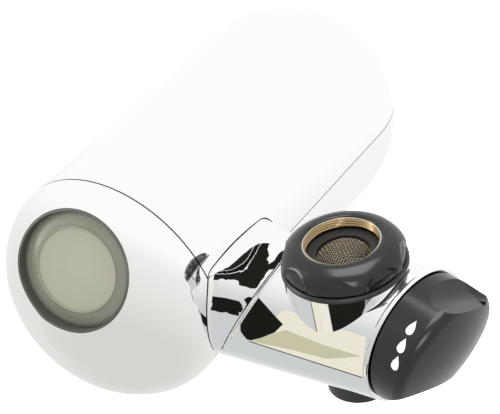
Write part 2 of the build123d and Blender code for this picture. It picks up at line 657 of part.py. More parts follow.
core_r = ARM_R - ARM_WALL - FIT
SPINDLE_CROSS = -KNOB_X / (cos(yaw) * cos(pitch))
with BuildPart() as valve_core:
    with BuildSketch(Plane.YZ.offset(CORE_LEFT)):
        with Locations((0, ARM_Z)):
            Circle(core_r)
    extrude(amount=70)
    add(beyond_plane(KNOB_BASE.offset(-1.5)), mode=Mode.SUBTRACT)
    # Inlet: socket of the stem, then the way down to the spindle
    with BuildSketch(Plane.XY):
        Circle(STEM_R + FIT)
    extrude(amount=STEM_BOTTOM, mode=Mode.SUBTRACT)
    with BuildSketch(Plane.XY.offset(ARM_Z)):
        Circle(STEM_BORE_R)
    extrude(amount=ARM_DEPTH, mode=Mode.SUBTRACT)
    # Spindle bore with the recess for its collar and the clip's groove
    with BuildSketch(KNOB_BASE.offset(SPINDLE_BACK - 2)):
        Circle(SPINDLE_R + RUNNING)
    extrude(amount=60, mode=Mode.SUBTRACT)
    with BuildSketch(KNOB_BASE.offset(SPINDLE_COLLAR_AT - 0.2)):
        Circle(SPINDLE_COLLAR_R + RUNNING)
    extrude(amount=20, mode=Mode.SUBTRACT)
    with BuildSketch(KNOB_BASE.offset(SPINDLE_COLLAR_AT + SPINDLE_COLLAR + 0.1)):
        Circle(CLIP_R)
    extrude(amount=CLIP_THICK, mode=Mode.SUBTRACT)
    # Outlet: socket of the nozzle and the way down from the spindle
    with BuildSketch(Plane.XY.offset(ARM_Z - ARM_R - 2)):
        with Locations((OUTLET_X, 0)):
            Circle(OUTLET_R + FIT)
    extrude(amount=ARM_R + 2 + OUTLET_TOP, mode=Mode.SUBTRACT)
    with BuildSketch(Plane.XY.offset(ARM_Z + OUTLET_TOP - 1)):
        with Locations((0, 3)):
            Circle(4.5)
    extrude(amount=-OUTLET_TOP + 1, mode=Mode.SUBTRACT)
    # Feed and return ways from the ducts
    for y in (FEED_Y, RETURN_Y):
        with BuildSketch(Plane((CORE_LEFT - 1, y, HOUSING_Z), x_dir=(0, 1, 0), z_dir=(1, 0, 0))):
            Circle(DUCT_R + FIT)
        extrude(amount=DUCT_TO - CORE_LEFT + 1, mode=Mode.SUBTRACT)
    with BuildSketch(Plane((DUCT_TO - 1, FEED_Y, HOUSING_Z), x_dir=(0, 1, 0), z_dir=(1, 0, 0))):
        Circle(DUCT_BORE_R)
    extrude(amount=10, mode=Mode.SUBTRACT)
    with BuildSketch(Plane((DUCT_TO - 1, RETURN_Y, HOUSING_Z), x_dir=(0, 1, 0), z_dir=(1, 0, 0))):
        Circle(DUCT_BORE_R)
    extrude(amount=-DUCT_TO + 1, mode=Mode.SUBTRACT)
    with BuildSketch(Plane.XY.offset(ARM_Z + OUTLET_TOP - 1)):
        with Locations((-2, RETURN_Y + 0.5)):
            Circle(2.5)
    extrude(amount=HOUSING_Z - ARM_Z - OUTLET_TOP + 1, mode=Mode.SUBTRACT)
valve_core.part.label = "valve_core"
export_step(valve_core.part, "parts/valve_core.step")

# Spindle: the turned plug of the diverter, its seals and its clip

with BuildPart() as spindle:
    with BuildSketch(KNOB_SECTION):
        with BuildLine():
            groove = SPINDLE_R + RUNNING - 2 * RING_SECTION
            points = [(0, SPINDLE_BACK), (SPINDLE_R, SPINDLE_BACK)]
            for at in SPINDLE_SEALS:
                points += [(SPINDLE_R, at - 1.1), (groove, at - 1.1), (groove, at + 1.1), (SPINDLE_R, at + 1.1)]
            points += [
                (SPINDLE_R, SPINDLE_COLLAR_AT),
                (SPINDLE_COLLAR_R, SPINDLE_COLLAR_AT),
                (SPINDLE_COLLAR_R, SPINDLE_COLLAR_AT + SPINDLE_COLLAR),
                (SPINDLE_R, SPINDLE_COLLAR_AT + SPINDLE_COLLAR),
                (SPINDLE_R, KNOB_GAP + DRIVE_STEP),
                (SPINDLE_DRIVE_R, KNOB_GAP + DRIVE_STEP),
                (SPINDLE_DRIVE_R, KNOB_GAP + DRIVE_STEP + SPINDLE_DRIVE),
                (0, KNOB_GAP + DRIVE_STEP + SPINDLE_DRIVE),
            ]
            Polyline(*points, close=True)
        make_face()
    revolve(axis=KNOB_AXIS)
    # Flat of the drive
    with BuildSketch(KNOB_BASE.offset(KNOB_GAP + DRIVE_STEP)):
        with Locations((SPINDLE_FLAT + 5, 0)):
            Rectangle(10, 20)
    extrude(amount=SPINDLE_DRIVE, mode=Mode.SUBTRACT)
    # Waterway along the axis and across it
    with BuildSketch(KNOB_BASE.offset(SPINDLE_BACK)):
        Circle(SPINDLE_BORE_R)
    extrude(amount=SPINDLE_CROSS - SPINDLE_BACK, mode=Mode.SUBTRACT)
    with BuildSketch(Plane(KNOB_ORIGIN + KNOB_DIR * SPINDLE_CROSS, x_dir=KNOB_DIR, z_dir=KNOB_UP)):
        Circle(SPINDLE_BORE_R)
    extrude(amount=12, both=True, mode=Mode.SUBTRACT)
spindle.part.label = "spindle"
export_step(spindle.part, "parts/spindle.step")

with BuildPart() as spindle_o_rings:
    for at in SPINDLE_SEALS:
        with Locations(KNOB_BASE.offset(at)):
            Torus(SPINDLE_R + RUNNING - RING_SECTION - 0.02, RING_SECTION - 0.02)
spindle_o_rings.part.label = "spindle_o_rings"
export_step(spindle_o_rings.part, "parts/spindle_o_rings.step")

with BuildPart() as spindle_clip:
    with BuildSketch(KNOB_BASE.offset(SPINDLE_COLLAR_AT + SPINDLE_COLLAR + 0.1)):
        Circle(CLIP_R)
        Circle(SPINDLE_R + 0.5, mode=Mode.SUBTRACT)
        with Locations((-CLIP_R, 0)):
            Rectangle(10, 5, mode=Mode.SUBTRACT)
    extrude(amount=CLIP_THICK)
spindle_clip.part.label = "spindle_clip"
export_step(spindle_clip.part, "parts/spindle_clip.step")

# Knob: a leaning drum with a domed face, a finger scoop at its top and a flat below, hollow behind

crown_dir = (KNOB_DIR - KNOB_UP * KNOB_LEAN).normalized()
crown_centre = KNOB_ORIGIN + KNOB_DIR * KNOB_LENGTH - crown_dir * KNOB_CROWN_R
flat_angle = radians(FLAT_AT)
flat_out = KNOB_UP * cos(flat_angle) + KNOB_SIDE * sin(flat_angle)
flat_along = KNOB_SIDE * cos(flat_angle) - KNOB_UP * sin(flat_angle)
flat_dir = (flat_out + KNOB_DIR * FLAT_SLOPE).normalized()
scoop_angle = radians(SCOOP_AT)
scoop_out = KNOB_UP * cos(scoop_angle) + KNOB_SIDE * sin(scoop_angle)
scoop_along = KNOB_SIDE * cos(scoop_angle) - KNOB_UP * sin(scoop_angle)
scoop_centre = KNOB_ORIGIN + KNOB_DIR * SCOOP_ALONG + scoop_out * (SCOOP_FLOOR + SCOOP_R) + scoop_along * SCOOP_END
SCOOP_PLANE = Plane(scoop_centre, x_dir=KNOB_DIR, z_dir=-scoop_along)
with BuildPart() as knob_drum:
    with BuildSketch(KNOB_BASE.offset(KNOB_GAP)):
        Circle(KNOB_R)
    extrude(amount=KNOB_LENGTH + KNOB_R)
    with Locations(crown_centre):
        Sphere(KNOB_CROWN_R, mode=Mode.INTERSECT)
    crown = knob_drum.faces().sort_by(KNOB_AXIS)[-1]
    outer_rim = crown.edges().sort_by(SortBy.LENGTH)[-1]
    fillet(outer_rim, radius=KNOB_EDGE)
with BuildPart() as knob:
    add(knob_drum.part)
    # Flat on the underside
    with BuildSketch(Plane(KNOB_ORIGIN + flat_out * FLAT_REACH, x_dir=flat_along, z_dir=flat_dir)):
        Rectangle(6 * KNOB_R, 6 * KNOB_R)
    extrude(amount=3 * KNOB_R, mode=Mode.SUBTRACT)
    # Scoop for the fingers, open to the outer face, with a round end that leaves the ear
    with BuildSketch(SCOOP_PLANE):
        Circle(SCOOP_R)
        with Locations((KNOB_R / 2, 0)):
            Rectangle(KNOB_R, 2 * SCOOP_R)
    extrude(amount=3 * KNOB_R, mode=Mode.SUBTRACT)
    with Locations(scoop_centre):
        Sphere(SCOOP_R, mode=Mode.SUBTRACT)
    # Hollow with two deeper pockets
    with BuildSketch(KNOB_BASE.offset(KNOB_GAP)):
        Circle(HOLLOW_R)
        Circle(HUB_R, mode=Mode.SUBTRACT)
    extrude(amount=HOLLOW_DEPTH, mode=Mode.SUBTRACT)
    with BuildSketch(KNOB_BASE.offset(KNOB_GAP)):
        with Locations((0, 0.53 * KNOB_R), (0, -0.53 * KNOB_R)):
            RectangleRounded(0.5 * KNOB_R, 0.4 * KNOB_R, 2.5)
    extrude(amount=POCKET_DEPTH, mode=Mode.SUBTRACT)
    # Socket of the spindle
    with BuildSketch(KNOB_BASE.offset(KNOB_GAP)):
        Circle(SPINDLE_R + FIT)
    extrude(amount=DRIVE_STEP, mode=Mode.SUBTRACT)
    with BuildSketch(KNOB_BASE.offset(KNOB_GAP + DRIVE_STEP)):
        Circle(SPINDLE_DRIVE_R)
        with Locations((SPINDLE_FLAT + 5, 0)):
            Rectangle(10, 20, mode=Mode.SUBTRACT)
    extrude(amount=SPINDLE_DRIVE + 0.5, mode=Mode.SUBTRACT)
knob.part.label = "knob"
export_step(knob.part, "parts/knob.step")

# Outlet nozzle, its seal and the stream straightener

NOZZLE_SEAL_Z = ARM_Z - 15.5
NOZZLE_SEAL_R = OUTLET_R + FIT - RING_SECTION
OUTLET_AXIS = Axis((OUTLET_X, 0, 0), (0, 0, 1))
with BuildPart() as outlet_nozzle:
    with BuildSketch(Plane((OUTLET_X, 0, 0), x_dir=(1, 0, 0), z_dir=(0, -1, 0))):
        with BuildLine():
            Polyline(
                (OUTLET_BORE_R, ARM_Z + OUTLET_END),
                (OUTLET_R - 0.5, ARM_Z + OUTLET_END),
                (OUTLET_R, ARM_Z + OUTLET_END + 0.5),
                (OUTLET_R, NOZZLE_SEAL_Z - 1.1),
                (NOZZLE_SEAL_R - RING_SECTION, NOZZLE_SEAL_Z - 1.1),
                (NOZZLE_SEAL_R - RING_SECTION, NOZZLE_SEAL_Z + 1.1),
                (OUTLET_R, NOZZLE_SEAL_Z + 1.1),
                (OUTLET_R, ARM_Z + OUTLET_TOP),
                (OUTLET_BORE_R - 1, ARM_Z + OUTLET_TOP),
                (OUTLET_BORE_R - 1, ARM_Z + OUTLET_GRID_AT + GRID_THICK),
                (OUTLET_BORE_R, ARM_Z + OUTLET_GRID_AT + GRID_THICK),
                close=True,
            )
        make_face()
    revolve(axis=OUTLET_AXIS)
outlet_nozzle.part.label = "outlet_nozzle"
export_step(outlet_nozzle.part, "parts/outlet_nozzle.step")

outlet_o_ring = seal(Plane((OUTLET_X, 0, NOZZLE_SEAL_Z)), NOZZLE_SEAL_R)
outlet_o_ring.label = "outlet_o_ring"
export_step(outlet_o_ring, "parts/outlet_o_ring.step")

with BuildPart() as stream_straightener:
    with BuildSketch(Plane.XY.offset(ARM_Z + OUTLET_GRID_AT)):
        with Locations((OUTLET_X, 0)):
            Circle(OUTLET_BORE_R)
        with Locations((OUTLET_X, 0)):
            with GridLocations(GRID_PITCH, GRID_PITCH, 5, 5):
                Rectangle(GRID_HOLE, GRID_HOLE, mode=Mode.SUBTRACT)
        with Locations((OUTLET_X, 0)):
            with GridLocations(4 * GRID_PITCH, 4 * GRID_PITCH, 2, 2):
                Rectangle(GRID_HOLE + 0.1, GRID_HOLE + 0.1)
    extrude(amount=GRID_THICK)
    with BuildSketch(Plane.XY.offset(ARM_Z + OUTLET_GRID_AT)):
        with Locations((OUTLET_X, 0)):
            Circle(OUTLET_BORE_R)
    extrude(amount=GRID_THICK, mode=Mode.INTERSECT)
stream_straightener.part.label = "stream_straightener"
export_step(stream_straightener.part, "parts/stream_straightener.step")

# Manifold: the socket block between the cap and the cartridge

Y_PLANE = dict(x_dir=(1, 0, 0), z_dir=(0, 1, 0))
with BuildPart() as manifold:
    with BuildSketch(Plane((HOUSING_X, HUB_FRONT, HOUSING_Z), **Y_PLANE)):
        Circle(MANIFOLD_HUB_R)
    extrude(amount=HUB_BACK - HUB_FRONT)
    with BuildSketch(Plane((HOUSING_X, FLANGE_AT, HOUSING_Z), **Y_PLANE)):
        Circle(FLANGE_R)
    extrude(amount=FLANGE_THICK)
    for angle in SCREW_ANGLES:
        with BuildSketch(Plane((HOUSING_X, FLANGE_AT, HOUSING_Z), **Y_PLANE)):
            with Locations((SCREW_CIRCLE * cos(radians(angle)), -SCREW_CIRCLE * sin(radians(angle)))):
                Circle(SCREW_R + 0.15)
        extrude(amount=FLANGE_THICK, mode=Mode.SUBTRACT)
    # Stepped socket: the spigot, the ring chamber and the centre port
    for start, radius in ((SOCKET_END, SOCKET_R), (CHAMBER_END, CHAMBER_R), (CENTRE_END, PORT_R + FIT)):
        with BuildSketch(Plane((HOUSING_X, start, HOUSING_Z), **Y_PLANE)):
            Circle(radius)
        extrude(amount=HUB_BACK - start, mode=Mode.SUBTRACT)
    for y, reach in ((FEED_Y, 5.0), (RETURN_Y, 0.0)):
        with BuildSketch(Plane((HOUSING_X + 13.0, y, HOUSING_Z), x_dir=(0, 1, 0), z_dir=(1, 0, 0))):
            Circle(DUCT_R + FIT)
        extrude(amount=10, mode=Mode.SUBTRACT)
        with BuildSketch(Plane((HOUSING_X + reach, y, HOUSING_Z), x_dir=(0, 1, 0), z_dir=(1, 0, 0))):
            Circle(DUCT_BORE_R)
        extrude(amount=14 - reach, mode=Mode.SUBTRACT)
manifold.part.label = "manifold"
export_step(manifold.part, "parts/manifold.step")

with BuildPart() as manifold_screws:
    for angle in SCREW_ANGLES:
        spot = (SCREW_CIRCLE * cos(radians(angle)), -SCREW_CIRCLE * sin(radians(angle)))
        with BuildSketch(Plane((HOUSING_X, FLANGE_AT + FLANGE_THICK, HOUSING_Z), **Y_PLANE)):
            with Locations(spot):
                Circle(SCREW_HEAD_R)
        extrude(amount=SCREW_HEAD)
        with BuildSketch(Plane((HOUSING_X, FLANGE_AT + FLANGE_THICK + SCREW_HEAD, HOUSING_Z), x_dir=(1, 0, 0), z_dir=(0, -1, 0))):
            with Locations((spot[0], -spot[1])):
                Circle(SCREW_R)
        extrude(amount=SCREW_LENGTH)
        with BuildSketch(Plane((HOUSING_X, FLANGE_AT + FLANGE_THICK + SCREW_HEAD, HOUSING_Z), x_dir=(1, 0, 0), z_dir=(0, -1, 0))):
            with Locations((spot[0], -spot[1])):
                Rectangle(3.2, 0.8)
                Rectangle(0.8, 3.2)
        extrude(amount=1.2, mode=Mode.SUBTRACT)
manifold_screws.part.label = "manifold_screws"
export_step(manifold_screws.part, "parts/manifold_screws.step")

# Ducts through the neck

with BuildPart() as feed_duct:
    with BuildSketch(Plane((DUCT_FROM, FEED_Y, HOUSING_Z), x_dir=(0, 1, 0), z_dir=(1, 0, 0))):
        Circle(DUCT_R)
        Circle(DUCT_BORE_R, mode=Mode.SUBTRACT)
    extrude(amount=DUCT_TO - DUCT_FROM)
feed_duct.part.label = "feed_duct"
export_step(feed_duct.part, "parts/feed_duct.step")

with BuildPart() as return_duct:
    with BuildSketch(Plane((DUCT_FROM, RETURN_Y, HOUSING_Z), x_dir=(0, 1, 0), z_dir=(1, 0, 0))):
        Circle(DUCT_R)
        Circle(DUCT_BORE_R, mode=Mode.SUBTRACT)
    extrude(amount=DUCT_TO - DUCT_FROM)
return_duct.part.label = "return_duct"
export_step(return_duct.part, "parts/return_duct.step")

# Cartridge: case with spigot and port, rear cap, carbon block with its caps, pleated wrap and seals

SPIGOT_SEAL_Y = 9.5
PORT_SEAL_Y = -2.7
with BuildPart() as cartridge_case:
    with BuildSketch(HOUSING_SECTION):
        with BuildLine():
            Polyline(
                (PORT_BORE_R, PORT_END),
                (PORT_R, PORT_END),
                (PORT_R, PORT_SEAL_Y - 1.1),
                (PORT_R + FIT - 2 * RING_SECTION, PORT_SEAL_Y - 1.1),
                (PORT_R + FIT - 2 * RING_SECTION, PORT_SEAL_Y + 1.1),
                (PORT_R, PORT_SEAL_Y + 1.1),
                (PORT_R, SPIGOT_END),
                (SPIGOT_R, SPIGOT_END),
                (SPIGOT_R, SPIGOT_SEAL_Y - 1.1),
                (SPIGOT_R + FIT - 2 * RING_SECTION, SPIGOT_SEAL_Y - 1.1),
                (SPIGOT_R + FIT - 2 * RING_SECTION, SPIGOT_SEAL_Y + 1.1),
                (SPIGOT_R, SPIGOT_SEAL_Y + 1.1),
                (SPIGOT_R, CARTRIDGE_FRONT),
                (CARTRIDGE_R - 2, CARTRIDGE_FRONT),
                (CARTRIDGE_R, CARTRIDGE_FRONT + 2),
                (CARTRIDGE_R, CARTRIDGE_BACK),
                (CARTRIDGE_R - CARTRIDGE_WALL, CARTRIDGE_BACK),
                (CARTRIDGE_R - CARTRIDGE_WALL, CARTRIDGE_FRONT + CARTRIDGE_WALL),
                (PORT_BORE_R, CARTRIDGE_FRONT + CARTRIDGE_WALL),
                close=True,
            )
        make_face()
    revolve(axis=HOUSING_AXIS)
    # Ring port: holes through the spigot into the case
    with BuildSketch(Plane((HOUSING_X, SPIGOT_END - 1, HOUSING_Z), **Y_PLANE)):
        with PolarLocations(8.8, 8):
            Circle(1.3)
    extrude(amount=CARTRIDGE_FRONT + CARTRIDGE_WALL - SPIGOT_END + 2, mode=Mode.SUBTRACT)
cartridge_case.part.label = "cartridge_case"
export_step(cartridge_case.part, "parts/cartridge_case.step")

with BuildPart() as cartridge_cap:
    with BuildSketch(HOUSING_SECTION):
        with BuildLine():
            Polyline(
                (0, CARTRIDGE_BACK + CARTRIDGE_DOME),
                (0, CARTRIDGE_BACK + CARTRIDGE_DOME - CARTRIDGE_WALL),
                (12, CARTRIDGE_BACK + CARTRIDGE_DOME - CARTRIDGE_WALL),
                (28.0, CARTRIDGE_BACK),
                (28.0, CARTRIDGE_BACK - 3),
                (CARTRIDGE_R - CARTRIDGE_WALL - FIT / 2, CARTRIDGE_BACK - 3),
                (CARTRIDGE_R - CARTRIDGE_WALL - FIT / 2, CARTRIDGE_BACK),
                (CARTRIDGE_R, CARTRIDGE_BACK),
                (CARTRIDGE_R, CARTRIDGE_BACK + 2.5),
                (14, CARTRIDGE_BACK + CARTRIDGE_DOME),
                close=True,
            )
        make_face()
    revolve(axis=HOUSING_AXIS)
cartridge_cap.part.label = "cartridge_cap"
export_step(cartridge_cap.part, "parts/cartridge_cap.step")

with BuildPart() as carbon_block:
    with BuildSketch(Plane((HOUSING_X, BLOCK_FRONT, HOUSING_Z), **Y_PLANE)):
        Circle(BLOCK_R)
        Circle(BLOCK_BORE_R, mode=Mode.SUBTRACT)
    extrude(amount=BLOCK_BACK - BLOCK_FRONT)
carbon_block.part.label = "carbon_block"
export_step(carbon_block.part, "parts/carbon_block.step")

with BuildPart() as block_front_cap:
    with BuildSketch(Plane((HOUSING_X, BLOCK_FRONT - BLOCK_CAP, HOUSING_Z), **Y_PLANE)):
        Circle(PLEAT_OUT)
        Circle(PORT_BORE_R, mode=Mode.SUBTRACT)
    extrude(amount=BLOCK_CAP)
    with BuildSketch(Plane((HOUSING_X, CARTRIDGE_FRONT + CARTRIDGE_WALL, HOUSING_Z), **Y_PLANE)):
        Circle(PORT_R)
        Circle(PORT_BORE_R, mode=Mode.SUBTRACT)
    extrude(amount=BLOCK_FRONT - CARTRIDGE_FRONT - CARTRIDGE_WALL)
block_front_cap.part.label = "block_front_cap"
export_step(block_front_cap.part, "parts/block_front_cap.step")

with BuildPart() as block_rear_cap:
    with BuildSketch(Plane((HOUSING_X, BLOCK_BACK, HOUSING_Z), **Y_PLANE)):
        Circle(BLOCK_CAP_R)
    extrude(amount=BLOCK_CAP)
block_rear_cap.part.label = "block_rear_cap"
export_step(block_rear_cap.part, "parts/block_rear_cap.step")

with BuildPart() as pleated_wrap:
    with BuildSketch(Plane((HOUSING_X, BLOCK_FRONT, HOUSING_Z), **Y_PLANE)):
        with BuildLine():
            ring = []
            for k in range(2 * PLEATS):
                radius = PLEAT_OUT if k % 2 == 0 else PLEAT_IN + FLEECE
                ring.append((radius * cos(pi * k / PLEATS), radius * sin(pi * k / PLEATS)))
            Polyline(*ring, close=True)
        make_face()
        with BuildLine():
            ring = []
            for k in range(2 * PLEATS):
                radius = PLEAT_OUT - FLEECE if k % 2 == 0 else PLEAT_IN
                ring.append((radius * cos(pi * k / PLEATS), radius * sin(pi * k / PLEATS)))
            Polyline(*ring, close=True)
        make_face(mode=Mode.SUBTRACT)
    extrude(amount=BLOCK_BACK - BLOCK_FRONT)
pleated_wrap.part.label = "pleated_wrap"
export_step(pleated_wrap.part, "parts/pleated_wrap.step")

spigot_o_ring = seal(Plane((HOUSING_X, SPIGOT_SEAL_Y, HOUSING_Z), **Y_PLANE), SPIGOT_R + FIT - RING_SECTION)
spigot_o_ring.label = "spigot_o_ring"
export_step(spigot_o_ring, "parts/spigot_o_ring.step")

port_o_ring = seal(Plane((HOUSING_X, PORT_SEAL_Y, HOUSING_Z), **Y_PLANE), PORT_R + FIT - RING_SECTION)
port_o_ring.label = "port_o_ring"
export_step(port_o_ring, "parts/port_o_ring.step")

# Hinge pin of the lid

with BuildPart() as hinge_pin:
    with BuildSketch(Plane((HINGE_X, HINGE_START, HOUSING_Z), **Y_PLANE)):
        Circle(HINGE_PIN_R)
    extrude(amount=5 * KNUCKLE)
hinge_pin.part.label = "hinge_pin"
export_step(hinge_pin.part, "parts/hinge_pin.step")
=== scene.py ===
# Faucet mount water filter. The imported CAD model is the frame; every piece rides on one of its bodies.
import json
import math
import bmesh
import bpy
from mathutils import Euler, Matrix, Vector

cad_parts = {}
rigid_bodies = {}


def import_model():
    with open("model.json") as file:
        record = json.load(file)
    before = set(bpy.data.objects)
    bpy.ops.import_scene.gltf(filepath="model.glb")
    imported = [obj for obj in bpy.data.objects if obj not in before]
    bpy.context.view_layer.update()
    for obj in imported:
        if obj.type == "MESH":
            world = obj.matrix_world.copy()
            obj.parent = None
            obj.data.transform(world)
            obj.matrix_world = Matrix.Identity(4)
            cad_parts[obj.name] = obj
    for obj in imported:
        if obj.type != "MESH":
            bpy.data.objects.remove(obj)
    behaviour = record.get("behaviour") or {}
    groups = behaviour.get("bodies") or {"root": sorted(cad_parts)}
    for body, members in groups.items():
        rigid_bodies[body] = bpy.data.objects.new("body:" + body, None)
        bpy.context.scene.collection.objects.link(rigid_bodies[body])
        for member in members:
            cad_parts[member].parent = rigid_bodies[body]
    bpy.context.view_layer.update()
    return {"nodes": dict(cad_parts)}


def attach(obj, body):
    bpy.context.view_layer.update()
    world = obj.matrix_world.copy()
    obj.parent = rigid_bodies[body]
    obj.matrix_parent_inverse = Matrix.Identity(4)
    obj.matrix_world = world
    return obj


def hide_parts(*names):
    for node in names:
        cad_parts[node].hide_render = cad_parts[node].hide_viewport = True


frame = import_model()

# The photographer's place: a long lens from above the knob's side, rolled a little,
# as worked out from the outlines of the collar, the arm and the housing.
EYE_MM = (232.97, -329.56, 290.72)
CAMERA_TURNS = (55.474, 9.439, 32.456)  # degrees round X, Y and Z
FOCAL_PX = 1607.6
IMAGE_WIDTH_PX = 500.0
SENSOR_MM = 36.0
camera_data = bpy.data.cameras.new("studio_camera")
camera_data.sensor_width = SENSOR_MM
camera_data.sensor_fit = "HORIZONTAL"
camera_data.lens = FOCAL_PX * SENSOR_MM / IMAGE_WIDTH_PX
camera_data.clip_start = 0.01
camera_data.clip_end = 20.0
camera = bpy.data.objects.new("studio_camera", camera_data)
bpy.context.scene.collection.objects.link(camera)
camera_turn = Euler([math.radians(degrees) for degrees in CAMERA_TURNS]).to_matrix().to_4x4()
camera.matrix_world = Matrix.Translation(Vector(EYE_MM) / 1000.0) @ camera_turn
bpy.context.scene.camera = camera
bpy.context.scene.view_settings.view_transform = "Standard"

# White sweep: a painted board under the filter. It shows white to the lens, takes a soft shadow,
# and polished metal sees the tents in its place.


def linear(code):
    """Linear red, green, blue and alpha 1 of an sRGB hex colour."""
    parts = [int(code[k:k + 2], 16) / 255.0 for k in (1, 3, 5)]
    return [c / 12.92 if c <= 0.04045 else ((c + 0.055) / 1.055) ** 2.4 for c in parts] + [1.0]


def add_node(material, kind, values=(), links=(), **settings):
    """Adds one shader node, sets its properties and inputs, and links other nodes' outputs to it."""
    made = material.node_tree.nodes.new(kind)
    for key, value in settings.items():
        setattr(made, key, value)
    for key, value in dict(values).items():
        made.inputs[key].default_value = value
    for key, source in dict(links).items():
        material.node_tree.links.new(source, made.inputs[key])
    return made


def new_material(name):
    """A material with no nodes yet."""
    material = bpy.data.materials.new(name)
    material.use_nodes = True
    material.node_tree.nodes.clear()
    return material


def finish_material(material, shader):
    """Sends the shader to the surface output."""
    add_node(material, "ShaderNodeOutputMaterial", links={"Surface": shader.outputs[0]})
    return material


def link_mesh(name, data, material):
    """Mesh object at the origin from a bmesh, with one material."""
    mesh = bpy.data.meshes.new(name)
    data.to_mesh(mesh)
    data.free()
    mesh.materials.append(material)
    made = bpy.data.objects.new(name, mesh)
    bpy.context.scene.collection.objects.link(made)
    return made


FLOOR_Z = -0.14
FLOOR_HALF = 3.0
WHITE = (1, 1, 1, 1)
BLACK = (0, 0, 0, 1)
# Matt white paint, with a glow for the lens alone that brings the board up to the page's white.
sweep_paint = new_material("white_sweep_paint")
ray = add_node(sweep_paint, "ShaderNodeLightPath")
paint = add_node(sweep_paint, "ShaderNodeBsdfDiffuse", {"Color": linear("#F4F4F4")})
glow = add_node(sweep_paint, "ShaderNodeEmission", {"Color": WHITE, "Strength": 0.62})
both = add_node(sweep_paint, "ShaderNodeAddShader", links={0: paint.outputs[0], 1: glow.outputs[0]})
to_lens = add_node(sweep_paint, "ShaderNodeMixShader",
                   links={0: ray.outputs["Is Camera Ray"], 1: paint.outputs[0], 2: both.outputs[0]})
finish_material(sweep_paint, to_lens)
floor_mesh = bmesh.new()
bmesh.ops.create_grid(floor_mesh, x_segments=1, y_segments=1, size=FLOOR_HALF,
                      matrix=Matrix.Translation((0, 0, FLOOR_Z)))
floor = link_mesh("floor", floor_mesh, sweep_paint)
floor.visible_glossy = False

# Studio light: an even white room, a large soft box above, a strip from the left and a weaker fill
# by the camera. The room lights matt surfaces and stands behind the part as plain white.
world = bpy.data.worlds.new("studio")
bpy.context.scene.world = world
world.use_nodes = True
world.node_tree.nodes.clear()
ray = add_node(world, "ShaderNodeLightPath")
even = add_node(world, "ShaderNodeBackground", {"Color": WHITE, "Strength": 0.75})
unlit = add_node(world, "ShaderNodeBackground", {"Color": BLACK, "Strength": 0.0})
white = add_node(world, "ShaderNodeBackground", {"Color": WHITE, "Strength": 1.0})
to_metal = add_node(world, "ShaderNodeMixShader",
                    links={0: ray.outputs["Is Glossy Ray"], 1: even.outputs[0], 2: unlit.outputs[0]})
to_lens = add_node(world, "ShaderNodeMixShader",
                   links={0: ray.outputs["Is Camera Ray"], 1: to_metal.outputs[0], 2: white.outputs[0]})
add_node(world, "ShaderNodeOutputWorld", links={"Surface": to_lens.outputs[0]})
LAMPS = (
    # name, place, target, width and height in metres, watts
    ("top_box", (0.1, 0.1, 1.2), (-0.05, 0.03, 0), 0.9, 0.9, 9.0),
    ("left_strip", (-1.1, -0.5, 0.5), (-0.08, 0.02, 0), 0.35, 1.0, 6.0),
    ("front_fill", (0.7, -1.0, 0.6), (0, 0, 0), 0.6, 0.6, 4.0),
)
for name, place, target, width, tall, watts in LAMPS:
    lamp_data = bpy.data.lights.new(name, "AREA")
    lamp_data.shape = "RECTANGLE"
    lamp_data.size = width
    lamp_data.size_y = tall
    lamp_data.energy = watts
    lamp = bpy.data.objects.new(name, lamp_data)
    lamp.location = place
    lamp.rotation_euler = (Vector(target) - Vector(place)).to_track_quat("-Z", "Y").to_euler()
    bpy.context.scene.collection.objects.link(lamp)

# Light tents: two white cloth tents that only polished surfaces see. The inner one lights the housing
# and every small piece, the outer one the valve and its neck, and both turn grey towards the front
# and the ground.


def set_tones(ramp, tones):
    """Gives a colour ramp its steps, each a place from 0 to 1 and a hex colour."""
    while len(ramp.elements) < len(tones):
        ramp.elements.new(0.5)
    for step, (at, code) in zip(ramp.elements, tones):
        step.position = at
        step.color = linear(code)


TENTS = (
    # name, centre and radius in mm, the direction it brightens in, then tones from its dim side on
    ("housing_tent", (-60, 30, -20), 240, (0.0, 0.7, 0.7),
     ((0.06, "#D7D8D5"), (0.18, "#E3E4E1"), (0.45, "#EFF0EE"), (0.66, "#FFFFFF"), (0.95, "#FFFFFF"))),
    ("valve_tent", (0, 0, 0), 1500, (0.0, 0.7, 0.45),
     ((0.25, "#CDD0D1"), (0.30, "#D1D4D5"), (0.42, "#E6E7E7"), (0.58, "#F5F6F7"), (0.80, "#FFFFFF"))),
)
BALL_DIVISIONS = 5
tents = {}
for name, centre, radius, brightens, tones in TENTS:
    # Thin lit cloth: it adds its light to what is seen through it, in tones that run over the tent.
    cloth = new_material(name + "_cloth")
    cloth.cycles.emission_sampling = "NONE"
    where = add_node(cloth, "ShaderNodeTexCoord")
    toward = add_node(cloth, "ShaderNodeVectorMath", {1: brightens}, {0: where.outputs["Object"]},
                      operation="DOT_PRODUCT")
    share = add_node(cloth, "ShaderNodeMapRange", {"From Min": -radius / 1000.0, "From Max": radius / 1000.0},
                     {"Value": toward.outputs["Value"]})
    shade = add_node(cloth, "ShaderNodeValToRGB", links={0: share.outputs[0]})
    set_tones(shade.color_ramp, tones)
    lit = add_node(cloth, "ShaderNodeEmission", {"Strength": 1.0}, {"Color": shade.outputs[0]})
    thin = add_node(cloth, "ShaderNodeBsdfTransparent")
    added = add_node(cloth, "ShaderNodeAddShader", links={0: lit.outputs[0], 1: thin.outputs[0]})
    finish_material(cloth, added)
    ball = bmesh.new()
    bmesh.ops.create_icosphere(ball, subdivisions=BALL_DIVISIONS, radius=radius / 1000.0)
    tents[name] = link_mesh(name, ball, cloth)
    tents[name].location = Vector(centre) / 1000.0

